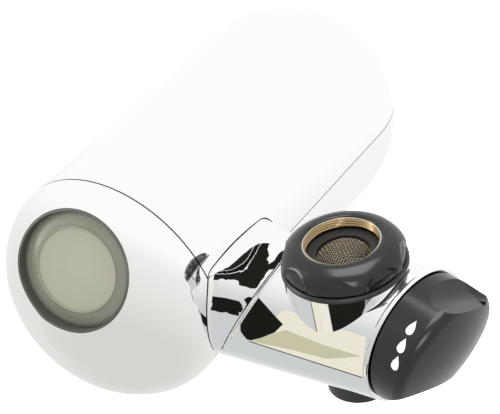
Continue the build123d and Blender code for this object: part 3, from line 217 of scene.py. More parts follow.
# Reflector cards: a rolled cream card with a fold in front of the valve, and flags beside and above it.
# They hang behind the inner tent, so only the valve and its neck mirror them. Most are given by where
# the barrel shows them: millimetres along the barrel, and degrees up its front from level.
BARREL_MM = 22.3
BARREL_Z_MM = -31.5
CARD_AWAY_MM = 290
CARD_STEPS = 6


def mirrored_place(along_mm, up_degrees, away_mm):
    """The place, in metres, that the lens sees mirrored at this spot of the barrel."""
    outward = Vector((0, -math.cos(math.radians(up_degrees)), math.sin(math.radians(up_degrees))))
    spot = Vector((along_mm, 0, BARREL_Z_MM)) + outward * BARREL_MM
    sight = (spot - Vector(EYE_MM)).normalized()
    return (spot + (sight - 2 * sight.dot(outward) * outward) * away_mm) / 1000.0


def hang_card(name, colour, rows):
    """Hangs a card through rows of two corners each, in board that looks the same from every side."""
    board = new_material(name + "_board")
    board.cycles.emission_sampling = "NONE"
    finish_material(board, add_node(board, "ShaderNodeEmission", {"Color": linear(colour), "Strength": 1.0}))
    sheet = bmesh.new()
    bmesh.ops.create_grid(sheet, x_segments=1, y_segments=len(rows) - 1, size=1.0)
    for corner in sheet.verts:
        row = rows[round((corner.co.y + 1) / 2 * (len(rows) - 1))]
        corner.co = row[1] if corner.co.x > 0 else row[0]
    tents[name] = link_mesh(name, sheet, board)


CARDS = (
    # name, colour, how many mm nearer than CARD_AWAY_MM, then the left and right end of each row
    ("cream_card", "#ECE8D6", 0, (((-13, 38), (17, 33.5)), ((-25.7, 2.3), (16.2, -3)))),
    ("cream_fold", "#C9C5A8", 12, (((-25.5, 2.6), (-25.5, 2.3)), ((-12, 22), (-11, 5)),
                                   ((2, 18), (3, 6)), ((15, 17.2), (15, 16.8)))),
    ("cream_edge", "#2A2822", 8, (((-26, 2.1), (-26, 1.1)), ((16.4, -3), (16.4, -4.2)))),
    ("side_flag", "#1B1B18", 16, (((-26.5, 44), (-24, 43)), ((-28, 37), (-20, 37)), ((-28, 30), (-13, 26)),
                                  ((-29, 18), (-16, 17)), ((-29, 9), (-21, 9)), ((-27, 3), (-25.5, 3)))),
    ("neck_flag", "#1B1B18", 12, (((-42, 34), (-31, 35)), ((-41, 27), (-29, 30)), ((-41, 21), (-31, 23)))),
)
for name, colour, nearer, ends in CARDS:
    rows = []
    for low, high in zip(ends, ends[1:]):
        for step in range(CARD_STEPS + 1):
            share = step / CARD_STEPS
            row = []
            for first, last in zip(low, high):
                along = first[0] + (last[0] - first[0]) * share
                up = first[1] + (last[1] - first[1]) * share
                row.append(mirrored_place(along, up, CARD_AWAY_MM - nearer))
            rows.append(row)
    hang_card(name, colour, rows)
# Three strips bent in an arc over the neck, with narrow slits between them.
FLAG_MM = 245
FLAG_CENTRE_MM = (-10, -12)
FLAG_STRIPS = (
    # name, colour, left and right edge in mm, how much the right edge widens between 55 and 95 degrees
    ("top_flag_1", "#26241F", -330, -250, 0),
    ("top_flag_2", "#1C1B18", -247, -219, 0),
    ("top_flag_3", "#22211D", -216, -190, 18),
)
for name, colour, left, right, widening in FLAG_STRIPS:
    rows = []
    for degrees in range(45, 151, 7):
        y = FLAG_CENTRE_MM[0] - FLAG_MM * math.cos(math.radians(degrees))
        z = FLAG_CENTRE_MM[1] + FLAG_MM * math.sin(math.radians(degrees))
        edge = right + widening * min(max((degrees - 55) / 40, 0), 1)
        rows.append([Vector((left, y, z)) / 1000.0, Vector((edge, y, z)) / 1000.0])
    hang_card(name, colour, rows)
# A light and a dark board stand low before the boss.
STAND_MM = 240
STAND_Y_MM = -20
STAND_TOP_MM = -140
STAND_FOOT_MM = -260
for name, colour, first, last in (("boss_card", "#EEEBDF", -28, -8), ("boss_flag", "#1E1E1B", -7, 80)):
    rows = []
    for step in range(CARD_STEPS + 1):
        turn = math.radians(first + (last - first) * step / CARD_STEPS)
        x = STAND_MM * math.sin(turn)
        y = STAND_Y_MM - STAND_MM * math.cos(turn)
        rows.append([Vector((x, y, z)) / 1000.0 for z in (STAND_TOP_MM, STAND_FOOT_MM)])
    hang_card(name, colour, rows)
for hung in tents.values():
    for sight in ("camera", "diffuse", "shadow", "transmission", "volume_scatter"):
        setattr(hung, "visible_" + sight, False)

# Front cap, lower shell and lid: injection-moulded ABS with copper, nickel and chrome plated over it.
# The lid swings on its pin, and the seam between cap and shells is darkened with painted shade.


def keep_node(name, material):
    """Gives a CAD node that already has the right shape its real finish."""
    node = frame["nodes"][name]
    node.data.materials.clear()
    node.data.materials.append(material)


SEAM_Y = -0.0155
SEAM_HALF = 0.00027  # half the seam's gap, and 0.12 mm of the edge beside it
HOUSING_AXIS = (-0.083, 0.0, -0.0275)
HOUSING_REACH = 0.0417  # the painted seam shade stops here, so that none lies on the neck
SWELLS_PER_M = 22.0  # a swell of 45 mm
HAZES_PER_M = 160.0  # patches of 6 mm
CHROME = "#FCFCFB"
# Bright chrome: a near-perfect mirror with the faint swell that moulding leaves and a trace of haze.
chrome_plate = new_material("chrome_plated_abs")
place = add_node(chrome_plate, "ShaderNodeTexCoord")
swell = add_node(chrome_plate, "ShaderNodeTexNoise", {"Scale": SWELLS_PER_M, "Detail": 1.0},
                 {"Vector": place.outputs["Object"]})
lift = add_node(chrome_plate, "ShaderNodeBump", {"Strength": 0.004, "Distance": 0.0001},
                {"Height": swell.outputs[0]})
haze = add_node(chrome_plate, "ShaderNodeTexNoise", {"Scale": HAZES_PER_M, "Detail": 3.0},
                {"Vector": place.outputs["Object"]})
rough = add_node(chrome_plate, "ShaderNodeMapRange", {"To Min": 0.008, "To Max": 0.02},
                 {"Value": haze.outputs[0]})
depth = add_node(chrome_plate, "ShaderNodeSeparateXYZ", links={0: place.outputs["Object"]})
in_seam = add_node(chrome_plate, "ShaderNodeMath", {1: SEAM_Y, 2: SEAM_HALF}, {0: depth.outputs["Y"]},
                   operation="COMPARE")
off_axis = add_node(chrome_plate, "ShaderNodeVectorMath", {1: HOUSING_AXIS}, {0: place.outputs["Object"]},
                    operation="SUBTRACT")
cross = add_node(chrome_plate, "ShaderNodeVectorMath", {1: (1, 0, 1)}, {0: off_axis.outputs[0]},
                 operation="MULTIPLY")
spread = add_node(chrome_plate, "ShaderNodeVectorMath", links={0: cross.outputs[0]}, operation="LENGTH")
on_housing = add_node(chrome_plate, "ShaderNodeMath", {1: HOUSING_REACH}, {0: spread.outputs["Value"]},
                      operation="LESS_THAN")
seam_painted_shade = add_node(chrome_plate, "ShaderNodeMath", links={0: in_seam.outputs[0], 1: on_housing.outputs[0]},
                 operation="MULTIPLY")
# Painted shade: the chrome turns dark grey in the seam's gap on the housing, standing for the shadow inside
# it.
plate = add_node(chrome_plate, "ShaderNodeMix", {"A": linear(CHROME), "B": linear("#4A4946")},
                 {"Factor": seam_painted_shade.outputs[0]}, data_type="RGBA")
mirror = add_node(chrome_plate, "ShaderNodeBsdfPrincipled", {"Metallic": 1.0},
                  {"Base Color": plate.outputs["Result"], "Roughness": rough.outputs[0],
                   "Normal": lift.outputs[0]})
finish_material(chrome_plate, mirror)
for name in ("front_cap", "lower_shell", "lid_shell"):
    keep_node(name, chrome_plate)

# Valve shell: the same plated ABS, a tube with a boss, pushed over the valve core. A rolled lip closes
# it at the neck's seam and another at the knob.


def turned_shape(profile_mm, steps, smooth=True, closed=False):
    """A bmesh turned round Z from a profile of (radius, height) points in millimetres."""
    made = bmesh.new()
    corners = [made.verts.new((out / 1000.0, 0.0, z / 1000.0)) for out, z in profile_mm]
    edges = [made.edges.new(pair) for pair in zip(corners, corners[1:])]
    if closed:
        edges.append(made.edges.new((corners[-1], corners[0])))
    bmesh.ops.spin(made, geom=corners + edges, axis=(0, 0, 1), cent=(0, 0, 0), steps=steps, angle=math.tau,
                   use_merge=True)
    bmesh.ops.remove_doubles(made, verts=made.verts, dist=1e-6)
    bmesh.ops.recalc_face_normals(made, faces=made.faces)
    for face in made.faces:
        face.smooth = smooth
    return made


def arc(middle, half_sizes, first, last, step, power=1.0):
    """Points of an ellipse's arc, its angle from the profile's outward side upwards; power flattens it."""
    points = []
    for degrees in range(first, last + (1 if step > 0 else -1), step):
        across = math.cos(math.radians(degrees))
        up = math.sin(math.radians(degrees))
        points.append((middle[0] + half_sizes[0] * math.copysign(abs(across) ** power, across),
                       middle[1] + half_sizes[1] * math.copysign(abs(up) ** power, up)))
    return points


# The same chrome. The barrel is a true cylinder, so the mirror takes its normal from the barrel's axis
# there, and straight edges stay straight in it.
ARM_AXIS_Z = BARREL_Z_MM / 1000.0
ARM_RADIUS = BARREL_MM / 1000.0
BARREL_NEAR = 0.00006
BARREL_AGREES = 0.985  # cosine between the mesh's normal and the barrel's
barrel_plate = new_material("chrome_plated_abs_barrel")
place = add_node(barrel_plate, "ShaderNodeTexCoord")
facing = add_node(barrel_plate, "ShaderNodeNewGeometry")
from_axis = add_node(barrel_plate, "ShaderNodeVectorMath", {1: (0, 0, ARM_AXIS_Z)},
                     {0: place.outputs["Object"]}, operation="SUBTRACT")
across = add_node(barrel_plate, "ShaderNodeVectorMath", {1: (0, 1, 1)}, {0: from_axis.outputs[0]},
                  operation="MULTIPLY")
radial = add_node(barrel_plate, "ShaderNodeVectorMath", links={0: across.outputs[0]}, operation="NORMALIZE")
away = add_node(barrel_plate, "ShaderNodeVectorMath", links={0: across.outputs[0]}, operation="LENGTH")
on_barrel = add_node(barrel_plate, "ShaderNodeMath", {1: ARM_RADIUS, 2: BARREL_NEAR},
                     {0: away.outputs["Value"]}, operation="COMPARE")
agree = add_node(barrel_plate, "ShaderNodeVectorMath",
                 links={0: radial.outputs[0], 1: facing.outputs["Normal"]}, operation="DOT_PRODUCT")
upright = add_node(barrel_plate, "ShaderNodeMath", {1: BARREL_AGREES}, {0: agree.outputs["Value"]},
                   operation="GREATER_THAN")
mask = add_node(barrel_plate, "ShaderNodeMath", links={0: on_barrel.outputs[0], 1: upright.outputs[0]},
                operation="MULTIPLY")
true_normal = add_node(barrel_plate, "ShaderNodeMix", data_type="VECTOR",
                       links={"Factor": mask.outputs[0], "A": facing.outputs["Normal"],
                              "B": radial.outputs[0]})
haze = add_node(barrel_plate, "ShaderNodeTexNoise", {"Scale": HAZES_PER_M, "Detail": 3.0},
                {"Vector": place.outputs["Object"]})
rough = add_node(barrel_plate, "ShaderNodeMapRange", {"To Min": 0.006, "To Max": 0.016},
                 {"Value": haze.outputs[0]})
mirror = add_node(barrel_plate, "ShaderNodeBsdfPrincipled", {"Base Color": linear(CHROME), "Metallic": 1.0},
                  {"Roughness": rough.outputs[0], "Normal": true_normal.outputs["Result"]})
finish_material(barrel_plate, mirror)
keep_node("valve_shell", barrel_plate)
NECK_SEAM_X_MM = -34.5
NECK_LEAN = math.radians(31.8)
KNOB_YAW = math.radians(13.0)
KNOB_PITCH = math.radians(6.7)
KNOB_OUT = Vector((math.cos(KNOB_PITCH) * math.cos(KNOB_YAW), -math.cos(KNOB_PITCH) * math.sin(KNOB_YAW),
                   -math.sin(KNOB_PITCH)))
LIP_RISE_MM = 0.23
LIP_SUNK_MM = 0.06
LIP_FOOT_MM = 0.5
LIPS = (
    # name, where its plane crosses the arm's axis in mm, the plane's direction, distance of the roll's middle
    # from the plane and half the roll's width in mm
    ("neck_lip", NECK_SEAM_X_MM, Vector((math.cos(NECK_LEAN), 0.0, -math.sin(NECK_LEAN))), 0.88, 0.72),
    ("knob_lip", BARREL_MM, KNOB_OUT, -0.94, 0.86),
)
for name, crossing, plane, middle, half in LIPS:
    roll = arc((BARREL_MM - LIP_SUNK_MM, middle), (LIP_RISE_MM, half), -90, 90, 20)
    # The roll's foot goes into the barrel on the side of the plane.
    foot_at = roll[0][1] if middle > 0 else roll[-1][1]
    foot = [(BARREL_MM - LIP_FOOT_MM, foot_at)]
    lip_mesh = turned_shape(foot + roll if middle > 0 else roll + foot, steps=180)
    for corner in lip_mesh.verts:
        y, z, off_plane = corner.co
        x = crossing / 1000.0 + (off_plane - plane.y * y - plane.z * z) / plane.x
        corner.co = (x, y, z + ARM_AXIS_Z)
    lip = link_mesh(name, lip_mesh, chrome_plate)
    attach(lip, "base")

# Knob, skirt ring and outlet nozzle: black ABS, moulded in polished tools. The knob pushes onto the
# spindle's drive, the ring lies between the boss and the collar, and the nozzle pushes up into the
# valve core.
HANDLING_PER_M = 70.0  # uneven gloss in patches of 14 mm, as handling leaves it


def moulded_plastic(name, colour, roughness, grain_mm, depth):
    """Moulded plastic or rubber: one even colour, with a tool grain of the given size and depth."""
    material = new_material(name)
    where = add_node(material, "ShaderNodeTexCoord")
    grain = add_node(material, "ShaderNodeTexNoise", {"Scale": 1000.0 / grain_mm, "Detail": 2.0},
                     {"Vector": where.outputs["Object"]})
    bump = add_node(material, "ShaderNodeBump", {"Strength": depth, "Distance": 0.00005},
                    {"Height": grain.outputs[0]})
    wide = add_node(material, "ShaderNodeTexNoise", {"Scale": HANDLING_PER_M, "Detail": 3.0},
                    {"Vector": where.outputs["Object"]})
    spread = add_node(material, "ShaderNodeMapRange", {"To Min": roughness * 0.85, "To Max": roughness * 1.2},
                      {"Value": wide.outputs[0]})
    body = add_node(material, "ShaderNodeBsdfPrincipled", {"Base Color": linear(colour), "IOR": 1.53},
                    {"Roughness": spread.outputs[0], "Normal": bump.outputs[0]})
    return finish_material(material, body)


# Polished black ABS: near black, with soft bright highlights.
black_gloss = moulded_plastic("black_gloss_abs", "#0B0B0A", 0.2, 0.6, 0.05)
# Satin black ABS: a little lighter, with wide dull highlights.
black_satin = moulded_plastic("black_satin_abs", "#131312", 0.4, 0.5, 0.2)
keep_node("knob", black_gloss)
for name in ("skirt_ring", "outlet_nozzle"):
    keep_node(name, black_satin)

# Bezel and lens of the change indicator: a dark moulded sleeve in the cap's window, and a smoked
# polycarbonate disc with a bevelled rim round its sunken middle, which rests on the sleeve's ledge.
LENS_CENTRE = (-0.0809, -0.0363, -0.0067)
LENS_HALF_WIDTH = 0.02124
LENS_HALF_HEIGHT = 0.01929
WINDOW_UP = math.radians(25.0)  # that the window looks up
WINDOW_SIDE = math.radians(4.0)  # that it looks towards the arm
lens_across = Vector((math.cos(WINDOW_SIDE), math.sin(WINDOW_SIDE), 0.0))
lens_up = Vector((-math.sin(WINDOW_SIDE) * math.sin(WINDOW_UP), math.cos(WINDOW_SIDE) * math.sin(WINDOW_UP),
                  math.cos(WINDOW_UP)))
CLOUDS_PER_M = 45.0  # 22 mm
# Dark grey ABS, satin.
bezel_dark = moulded_plastic("dark_sleeve_abs", "#4A4A45", 0.35, 0.5, 0.2)
keep_node("bezel_ring", bezel_dark)
# Smoked polycarbonate: pale grey-green in its thin middle, darker in a ring where the rim is thick, with
# painted shade as a thin dark line round the sunken middle and towards the bezel; slightly cloudy, and lit a
# little from within.
lens_smoked = new_material("smoked_polycarbonate")
where = add_node(lens_smoked, "ShaderNodeTexCoord")
from_middle = add_node(lens_smoked, "ShaderNodeVectorMath", {1: LENS_CENTRE}, {0: where.outputs["Object"]},
                       operation="SUBTRACT")
run = add_node(lens_smoked, "ShaderNodeVectorMath", {1: lens_across / LENS_HALF_WIDTH},
               {0: from_middle.outputs[0]}, operation="DOT_PRODUCT")
rise = add_node(lens_smoked, "ShaderNodeVectorMath", {1: lens_up / LENS_HALF_HEIGHT},
                {0: from_middle.outputs[0]}, operation="DOT_PRODUCT")
flat = add_node(lens_smoked, "ShaderNodeCombineXYZ",
                links={0: run.outputs["Value"], 1: rise.outputs["Value"]})
reach = add_node(lens_smoked, "ShaderNodeVectorMath", links={0: flat.outputs[0]}, operation="LENGTH")
zones = add_node(lens_smoked, "ShaderNodeValToRGB", links={0: reach.outputs["Value"]})
# Painted shade: the dark step at 0.745 and the darkening at 0.98 stand for shade at the disc's edge and by
# the bezel.
set_tones(zones.color_ramp, ((0.0, "#9A9B8C"), (0.72, "#93947F"), (0.745, "#5C5D50"), (0.79, "#6E6F5F"),
                             (0.92, "#787967"), (0.98, "#55564B")))
cloud = add_node(lens_smoked, "ShaderNodeTexNoise", {"Scale": CLOUDS_PER_M, "Detail": 2.0},
                 {"Vector": where.outputs["Object"]})
veil = add_node(lens_smoked, "ShaderNodeMapRange", {"To Max": 0.25}, {"Value": cloud.outputs[0]})
tint = add_node(lens_smoked, "ShaderNodeMix", {"B": linear("#B9B9AE")},
                {"A": zones.outputs[0], "Factor": veil.outputs[0]}, data_type="RGBA")
glass = add_node(lens_smoked, "ShaderNodeBsdfPrincipled",
                 {"IOR": 1.58, "Roughness": 0.2, "Subsurface Weight": 0.15, "Subsurface Scale": 0.002},
                 {"Base Color": tint.outputs["Result"]})
finish_material(lens_smoked, glass)
keep_node("window_lens", lens_smoked)

# Seals and the spout washer: moulded rubber rings, pushed into their grooves, and a flat washer that
# lies on the stem's flange.
# EPDM rubber: matt charcoal black, without a clear highlight.
epdm = moulded_plastic("epdm_rubber", "#1A1A19", 0.62, 0.4, 0.4)
for name in ("rubber_washer", "stem_o_ring", "outlet_o_ring", "spindle_o_rings", "spigot_o_ring",
             "port_o_ring"):
    keep_node(name, epdm)

# Swivel stem of turned brass, whose flange holds the collar, and the small steel pieces: hinge pin,
# screws, spindle clip and coin cell. The tool leaves fine rings on what is turned.
STAINS_PER_M = 300.0  # 3 mm


def turned_metal(name, colour, roughness, feed_mm):
    """Turned metal: rings across Z, drawn six times as wide as the tool's feed so that they show."""
    material = new_material(name)
    where = add_node(material, "ShaderNodeTexCoord")
    rings = add_node(material, "ShaderNodeTexWave", {"Scale": 1000.0 / feed_mm / 20.0, "Distortion": 0.4},
                     {"Vector": where.outputs["Object"]}, bands_direction="Z")
    bump = add_node(material, "ShaderNodeBump", {"Strength": 0.15, "Distance": 0.00004},
                    {"Height": rings.outputs[1]})
    stain = add_node(material, "ShaderNodeTexNoise", {"Scale": STAINS_PER_M, "Detail": 3.0},
                     {"Vector": where.outputs["Object"]})
    spread = add_node(material, "ShaderNodeMapRange", {"To Min": roughness * 0.8, "To Max": roughness * 1.3},
                      {"Value": stain.outputs[0]})
    metal = add_node(material, "ShaderNodeBsdfPrincipled", {"Base Color": linear(colour), "Metallic": 1.0},
                     {"Roughness": spread.outputs[0], "Normal": bump.outputs[0]})
    return finish_material(material, metal)


# Free-cutting brass: a dull yellow-brown that catches gold lines.
brass = turned_metal("turned_brass", "#A08A66", 0.24, 0.4)
# Stainless steel: light neutral grey.
steel = turned_metal("turned_stainless", "#B9BABB", 0.25, 0.5)
keep_node("swivel_stem", brass)
for name in ("hinge_pin", "manifold_screws", "spindle_clip", "coin_cell"):
    keep_node(name, steel)

# Inlet screen: stainless wire, woven plain and pressed to a dome, over a dark sheet of painted shade that
# stands for the shadowed hollow under it. It stands in the washer. The real pitch of 0.5 mm is drawn as 0.78
# so that the holes show.
SCREEN_RADIUS_MM = 8.1
SCREEN_TOP_MM = -1.5
SCREEN_BALL_MM = 11.1
WIRE_PITCH_MM = 0.78
WIRE_MM = 0.24
WIRE_SIDES = 6
POINTS_A_PITCH = 4
OVER_MM = 0.07  # that a wire rises and dips as it crosses the others
PATINAS_PER_M = 420.0  # 2.4 mm
# Stainless wire with a bronze-toned film of limescale: warm grey, half bright.
wire_steel = new_material("woven_stainless")
where = add_node(wire_steel, "ShaderNodeTexCoord")
patina = add_node(wire_steel, "ShaderNodeTexNoise", {"Scale": PATINAS_PER_M, "Detail": 2.0},
                  {"Vector": where.outputs["Object"]})
tone = add_node(wire_steel, "ShaderNodeMix", {"A": linear("#7B7264"), "B": linear("#A79D8B")},
                {"Factor": patina.outputs[0]}, data_type="RGBA")
wire_body = add_node(wire_steel, "ShaderNodeBsdfPrincipled", {"Metallic": 1.0, "Roughness": 0.36},
                     {"Base Color": tone.outputs["Result"]})
finish_material(wire_steel, wire_body)
weave = bmesh.new()
wires_a_side = int(SCREEN_RADIUS_MM / WIRE_PITCH_MM)
for quarter, phase in ((90, 0), (0, 1)):
    wire_turn = Matrix.Rotation(math.radians(quarter), 4, "Z")
    for number in range(-wires_a_side, wires_a_side + 1):
        aside = number * WIRE_PITCH_MM
        half = math.sqrt(SCREEN_RADIUS_MM ** 2 - aside ** 2)
        count = max(int(2 * half / WIRE_PITCH_MM * POINTS_A_PITCH), 4)
        # Each wire is a narrow sheet rolled up to a tube.
        sheet = bmesh.ops.create_grid(weave, x_segments=count, y_segments=WIRE_SIDES, size=1.0)["verts"]
        for corner in sheet:
            run = half * corner.co.x
            ball = math.sqrt(SCREEN_BALL_MM ** 2 - aside ** 2 - run ** 2)
            over = OVER_MM * math.cos(math.pi * (run / WIRE_PITCH_MM + number + phase))
            height = SCREEN_TOP_MM - SCREEN_BALL_MM + ball - WIRE_MM + over
            side = WIRE_MM / 2 * math.cos(math.pi * corner.co.y)
            up = WIRE_MM / 2 * math.sin(math.pi * corner.co.y)
            corner.co = wire_turn @ Vector((run, aside + side, height + up)) / 1000.0
bmesh.ops.remove_doubles(weave, verts=weave.verts, dist=1e-7)
bmesh.ops.recalc_face_normals(weave, faces=weave.faces)
for face in weave.faces:
    face.smooth = True
screen = link_mesh("inlet_screen_weave", weave, wire_steel)
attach(screen, "base")
SHADE_SHEET_RADIUS_MM = SCREEN_RADIUS_MM + 0.15
SHADE_SHEET_BELOW_MM = 0.62
SHADE_SHEET_RINGS = 12
# Painted shade: a matt dark brown sheet under the weave, standing for the shadowed hollow beneath it.
hollow_shade_dark = moulded_plastic("painted_shade_sheet", "#2A251D", 0.7, 0.5, 0.4)
profile = []
for step in range(SHADE_SHEET_RINGS + 1):
    out = SHADE_SHEET_RADIUS_MM * step / SHADE_SHEET_RINGS
    ball = math.sqrt(SCREEN_BALL_MM ** 2 - out ** 2)
    profile.append((out, SCREEN_TOP_MM - SCREEN_BALL_MM + ball - SHADE_SHEET_BELOW_MM))
shade_sheet = link_mesh("inlet_screen_painted_shade", turned_shape(profile, steps=48), hollow_shade_dark)
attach(shade_sheet, "base")
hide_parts("inlet_screen")

# Drops on the knob: three drop marks pad-printed on the side that faces the user, three hundredths of
# a millimetre proud.
KNOB_FACE_MM = Vector((BARREL_MM, 0.0, BARREL_Z_MM))
KNOB_TOP = Vector((math.sin(KNOB_PITCH) * math.cos(KNOB_YAW), -math.sin(KNOB_PITCH) * math.sin(KNOB_YAW),
                   math.cos(KNOB_PITCH)))
KNOB_BACK = KNOB_TOP.cross(KNOB_OUT)
KNOB_MM = 22.1
PRINT_MM = 22.13
DROP_TURNS = (325.0, 309.3, 294.0)  # degrees round the knob from its top
DROP_ALONG_MM = 9.1
DROP_LONG_MM = 5.0
DROP_HALF_MM = 1.35
DROP_BELLY = 0.30  # share of the drop's length at which it is widest
DROP_MIDDLE = 0.42
DROP_LEAN_MM = 0.25
DROP_TIP_MM = 0.02
# Printing ink: opaque white, barely shiny.
drop_ink = moulded_plastic("white_print_ink", "#EDEDE8", 0.45, 0.4, 0.1)
prints = bmesh.new()
for degrees in DROP_TURNS:
    for corner in bmesh.ops.create_grid(prints, x_segments=2, y_segments=16, size=1.0)["verts"]:
        share = (corner.co.y + 1) / 2
        if share < DROP_BELLY:
            wide = math.sqrt(max(1 - ((share - DROP_BELLY) / DROP_BELLY) ** 2, 0))
        else:
            wide = max(math.cos((share - DROP_BELLY) / (1 - DROP_BELLY) * math.pi / 2), 0) ** 1.25
        across = corner.co.x * max(DROP_HALF_MM * wide, DROP_TIP_MM)
        lean = DROP_LEAN_MM * max(share - DROP_BELLY, 0.0)
        angle = math.radians(degrees) + (share - DROP_MIDDLE) * DROP_LONG_MM / KNOB_MM
        round_out = KNOB_TOP * math.cos(angle) + KNOB_BACK * math.sin(angle)
        spot = KNOB_FACE_MM + KNOB_OUT * (DROP_ALONG_MM + lean + across) + round_out * PRINT_MM
        corner.co = spot / 1000.0
bmesh.ops.recalc_face_normals(prints, faces=prints.faces)
for face in prints.faces:
    face.smooth = True
drops = link_mesh("knob_drop_prints", prints, drop_ink)
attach(drops, "knob")

# Thread insert: turned brass with the female thread cut in it, moulded into the collar. Its faced top edge
# carries a painted highlight, and below the thread it is relieved and closes under the stem's flange.
THREAD_MIDDLE_MM = 11.8
THREAD_CREST_MM = 11.55
THREAD_DEPTH_MM = 0.5
THREAD_PITCH_MM = 0.94
THREAD_TOP_MM = -0.2
THREAD_LONG_MM = 2.6
THREAD_ROWS = 30
top_edge = [(12.9, 0.0), (12.3, 0.0), (12.12, -0.05), (12.0, THREAD_TOP_MM)]
thread = [(THREAD_MIDDLE_MM, THREAD_TOP_MM - THREAD_LONG_MM * row / THREAD_ROWS)
          for row in range(THREAD_ROWS + 1)]
below = [(12.3, -3.1), (12.3, -6.9), (9.7, -6.9), (9.7, -8.4), (13.6, -8.4), (13.6, -2.4), (12.9, -2.4)]
insert = turned_shape(top_edge + thread + below, steps=144, smooth=False, closed=True)
for corner in insert.verts:
    x, y, z = corner.co
    if abs(math.hypot(x, y) * 1000.0 - THREAD_MIDDLE_MM) < 0.01:
        wave = (z * 1000.0 / THREAD_PITCH_MM + math.atan2(y, x) / math.tau) % 1.0
        out = THREAD_CREST_MM + THREAD_DEPTH_MM * abs(2 * wave - 1)
        corner.co = (x * out / THREAD_MIDDLE_MM, y * out / THREAD_MIDDLE_MM, z)
threaded = link_mesh("thread_insert_turned", insert, brass)
# Painted highlight: the faced top edge gets an almost white copy of the brass, standing for the bright line
# of light on it.
edge_painted_highlight = turned_metal("brass_edge_painted_highlight", "#E6E3DC", 0.12, 0.4)
threaded.data.materials.append(edge_painted_highlight)
HIGHLIGHT_FROM_Z = -0.0001
HIGHLIGHT_FROM_RADIUS = 0.01205
for polygon in threaded.data.polygons:
    if polygon.center.z > HIGHLIGHT_FROM_Z and math.hypot(polygon.center.x, polygon.center.y) > HIGHLIGHT_FROM_RADIUS:
        polygon.material_index = 1
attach(threaded, "collar")
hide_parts("thread_insert")

# Collar: the black grip nut that draws the filter up to the faucet, moulded in the gloss ABS over the
# brass insert, with a rounded shoulder and eight arched finger pads in its side.
SHOULDER_POWER = 1.12  # 1 is a quarter of an ellipse; the real shoulder is a little flatter
seat = [(13.6, -7.2), (13.6, -2.4), (12.92, -2.35), (12.92, -0.02), (12.42, 0.03)]
lip = arc((13.4, 0.1), (0.96, 0.5), 170, 110, -20)
shoulder = arc((13.4, -5.3), (6.6, 5.9), 90, 0, -6, SHOULDER_POWER)
foot = arc((19.0, -6.2), (1.0, 1.0), 0, -90, -15)
PAD_COUNT = 8
PAD_FIRST = 22.5
PAD_HALF = 19.5  # degrees
PAD_DEPTH_MM = 0.75
PAD_TOP_MM = -1.2
PAD_ARCH_MM = 3.6
PAD_FADE_MM = 1.6
PAD_FADE_SIDE = 0.3
PAD_FOOT_MM = -7.6
PAD_FOOT_FADE_MM = 1.2
PAD_FROM_MM = 15.0
nut = turned_shape(seat + lip + shoulder + foot, steps=288, closed=True)
for corner in nut.verts:
    out = math.hypot(corner.co.x, corner.co.y) * 1000.0
    if out > PAD_FROM_MM:
        z = corner.co.z * 1000.0
        pad_share = 360.0 / PAD_COUNT
        past = math.degrees(math.atan2(corner.co.y, corner.co.x)) - PAD_FIRST + pad_share / 2
        off = abs(past % pad_share - pad_share / 2) / PAD_HALF
        arch = PAD_TOP_MM - PAD_ARCH_MM * off ** 2
        down = min(max((arch - z) / PAD_FADE_MM, 0.0), 1.0)
        down *= min(max((1.0 - off) / PAD_FADE_SIDE, 0.0), 1.0)
        down *= min(max((z - PAD_FOOT_MM) / PAD_FOOT_FADE_MM, 0.0), 1.0)
        shrink = 1.0 - PAD_DEPTH_MM * down * down * (3.0 - 2.0 * down) / out
        corner.co = (corner.co.x * shrink, corner.co.y * shrink, corner.co.z)
collar = link_mesh("collar_nut_grip", nut, black_gloss)
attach(collar, "collar")
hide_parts("collar_nut")

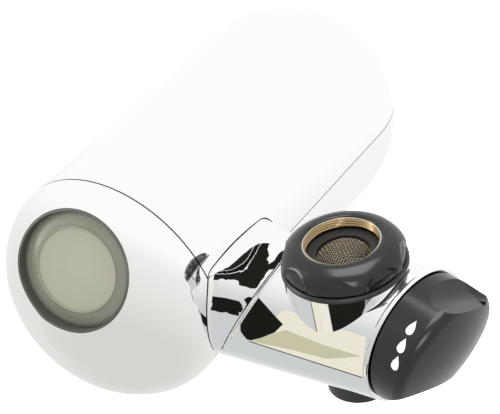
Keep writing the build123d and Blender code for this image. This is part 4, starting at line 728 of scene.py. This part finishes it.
# Inner mouldings: the valve core and its spindle, the outlet's grid, the manifold with its ducts and the
# cartridge's case and caps, all of natural plastic, pushed, glued or screwed together.
# Natural polypropylene: milky white, slightly waxy.
white_pp = moulded_plastic("natural_polypropylene", "#DEDED8", 0.45, 0.8, 0.2)
for name in ("valve_core", "spindle", "stream_straightener", "manifold", "feed_duct", "return_duct",
             "cartridge_case", "cartridge_cap", "block_front_cap", "block_rear_cap"):
    keep_node(name, white_pp)

# Filter media: a block pressed from carbon grains between its two glued caps, with a fleece folded in
# pleats and wrapped round it.
# Pressed carbon: dull black, with grains of 1.2 mm.
carbon = moulded_plastic("pressed_carbon", "#1C1C1C", 0.9, 1.2, 0.9)
keep_node("carbon_block", carbon)
# Polyester fleece: soft matt white.
fleece = moulded_plastic("pleated_fleece", "#E6E5E0", 0.9, 0.7, 0.6)
keep_node("pleated_wrap", fleece)

# Change indicator's electronics: a board of glass cloth in epoxy behind the lens, with two clear lamps
# soldered to it.
# Green solder mask, half gloss.
board_green = moulded_plastic("glass_epoxy_board", "#1F5A3A", 0.4, 0.9, 0.3)
keep_node("indicator_board", board_green)
# Clear lamp epoxy, drawn as a pale glossy body.
lamp_clear = moulded_plastic("clear_lamp_epoxy", "#D6D6CE", 0.15, 0.9, 0.05)
keep_node("indicator_leds", lamp_clear)

# Which light reaches which piece: the valve shell and the lower shell with its neck take the outer
# tent and the cards, every other piece the inner tent, and the lamps leave the polished plate to them.
lit_outer = bpy.data.collections.new("lit_by_valve_tent")
lit_inner = bpy.data.collections.new("lit_by_housing_tent")
lit_lamps = bpy.data.collections.new("lit_by_lamps")
lit_lamps.objects.link(floor)
polished = {chrome_plate.name, barrel_plate.name}
for piece in list(bpy.context.scene.objects):
    if piece.type == "MESH" and piece.name not in tents and piece != floor:
        on_valve = piece in (frame["nodes"]["valve_shell"], frame["nodes"]["lower_shell"])
        if on_valve or piece.name in ("neck_lip", "knob_lip"):
            lit_outer.objects.link(piece)
        else:
            lit_inner.objects.link(piece)
        if not polished & set(piece.data.materials.keys()):
            lit_lamps.objects.link(piece)
for name, hung in tents.items():
    hung.light_linking.receiver_collection = lit_inner if name == "housing_tent" else lit_outer
for lamp in bpy.context.scene.objects:
    if lamp.type == "LIGHT":
        lamp.light_linking.receiver_collection = lit_lamps
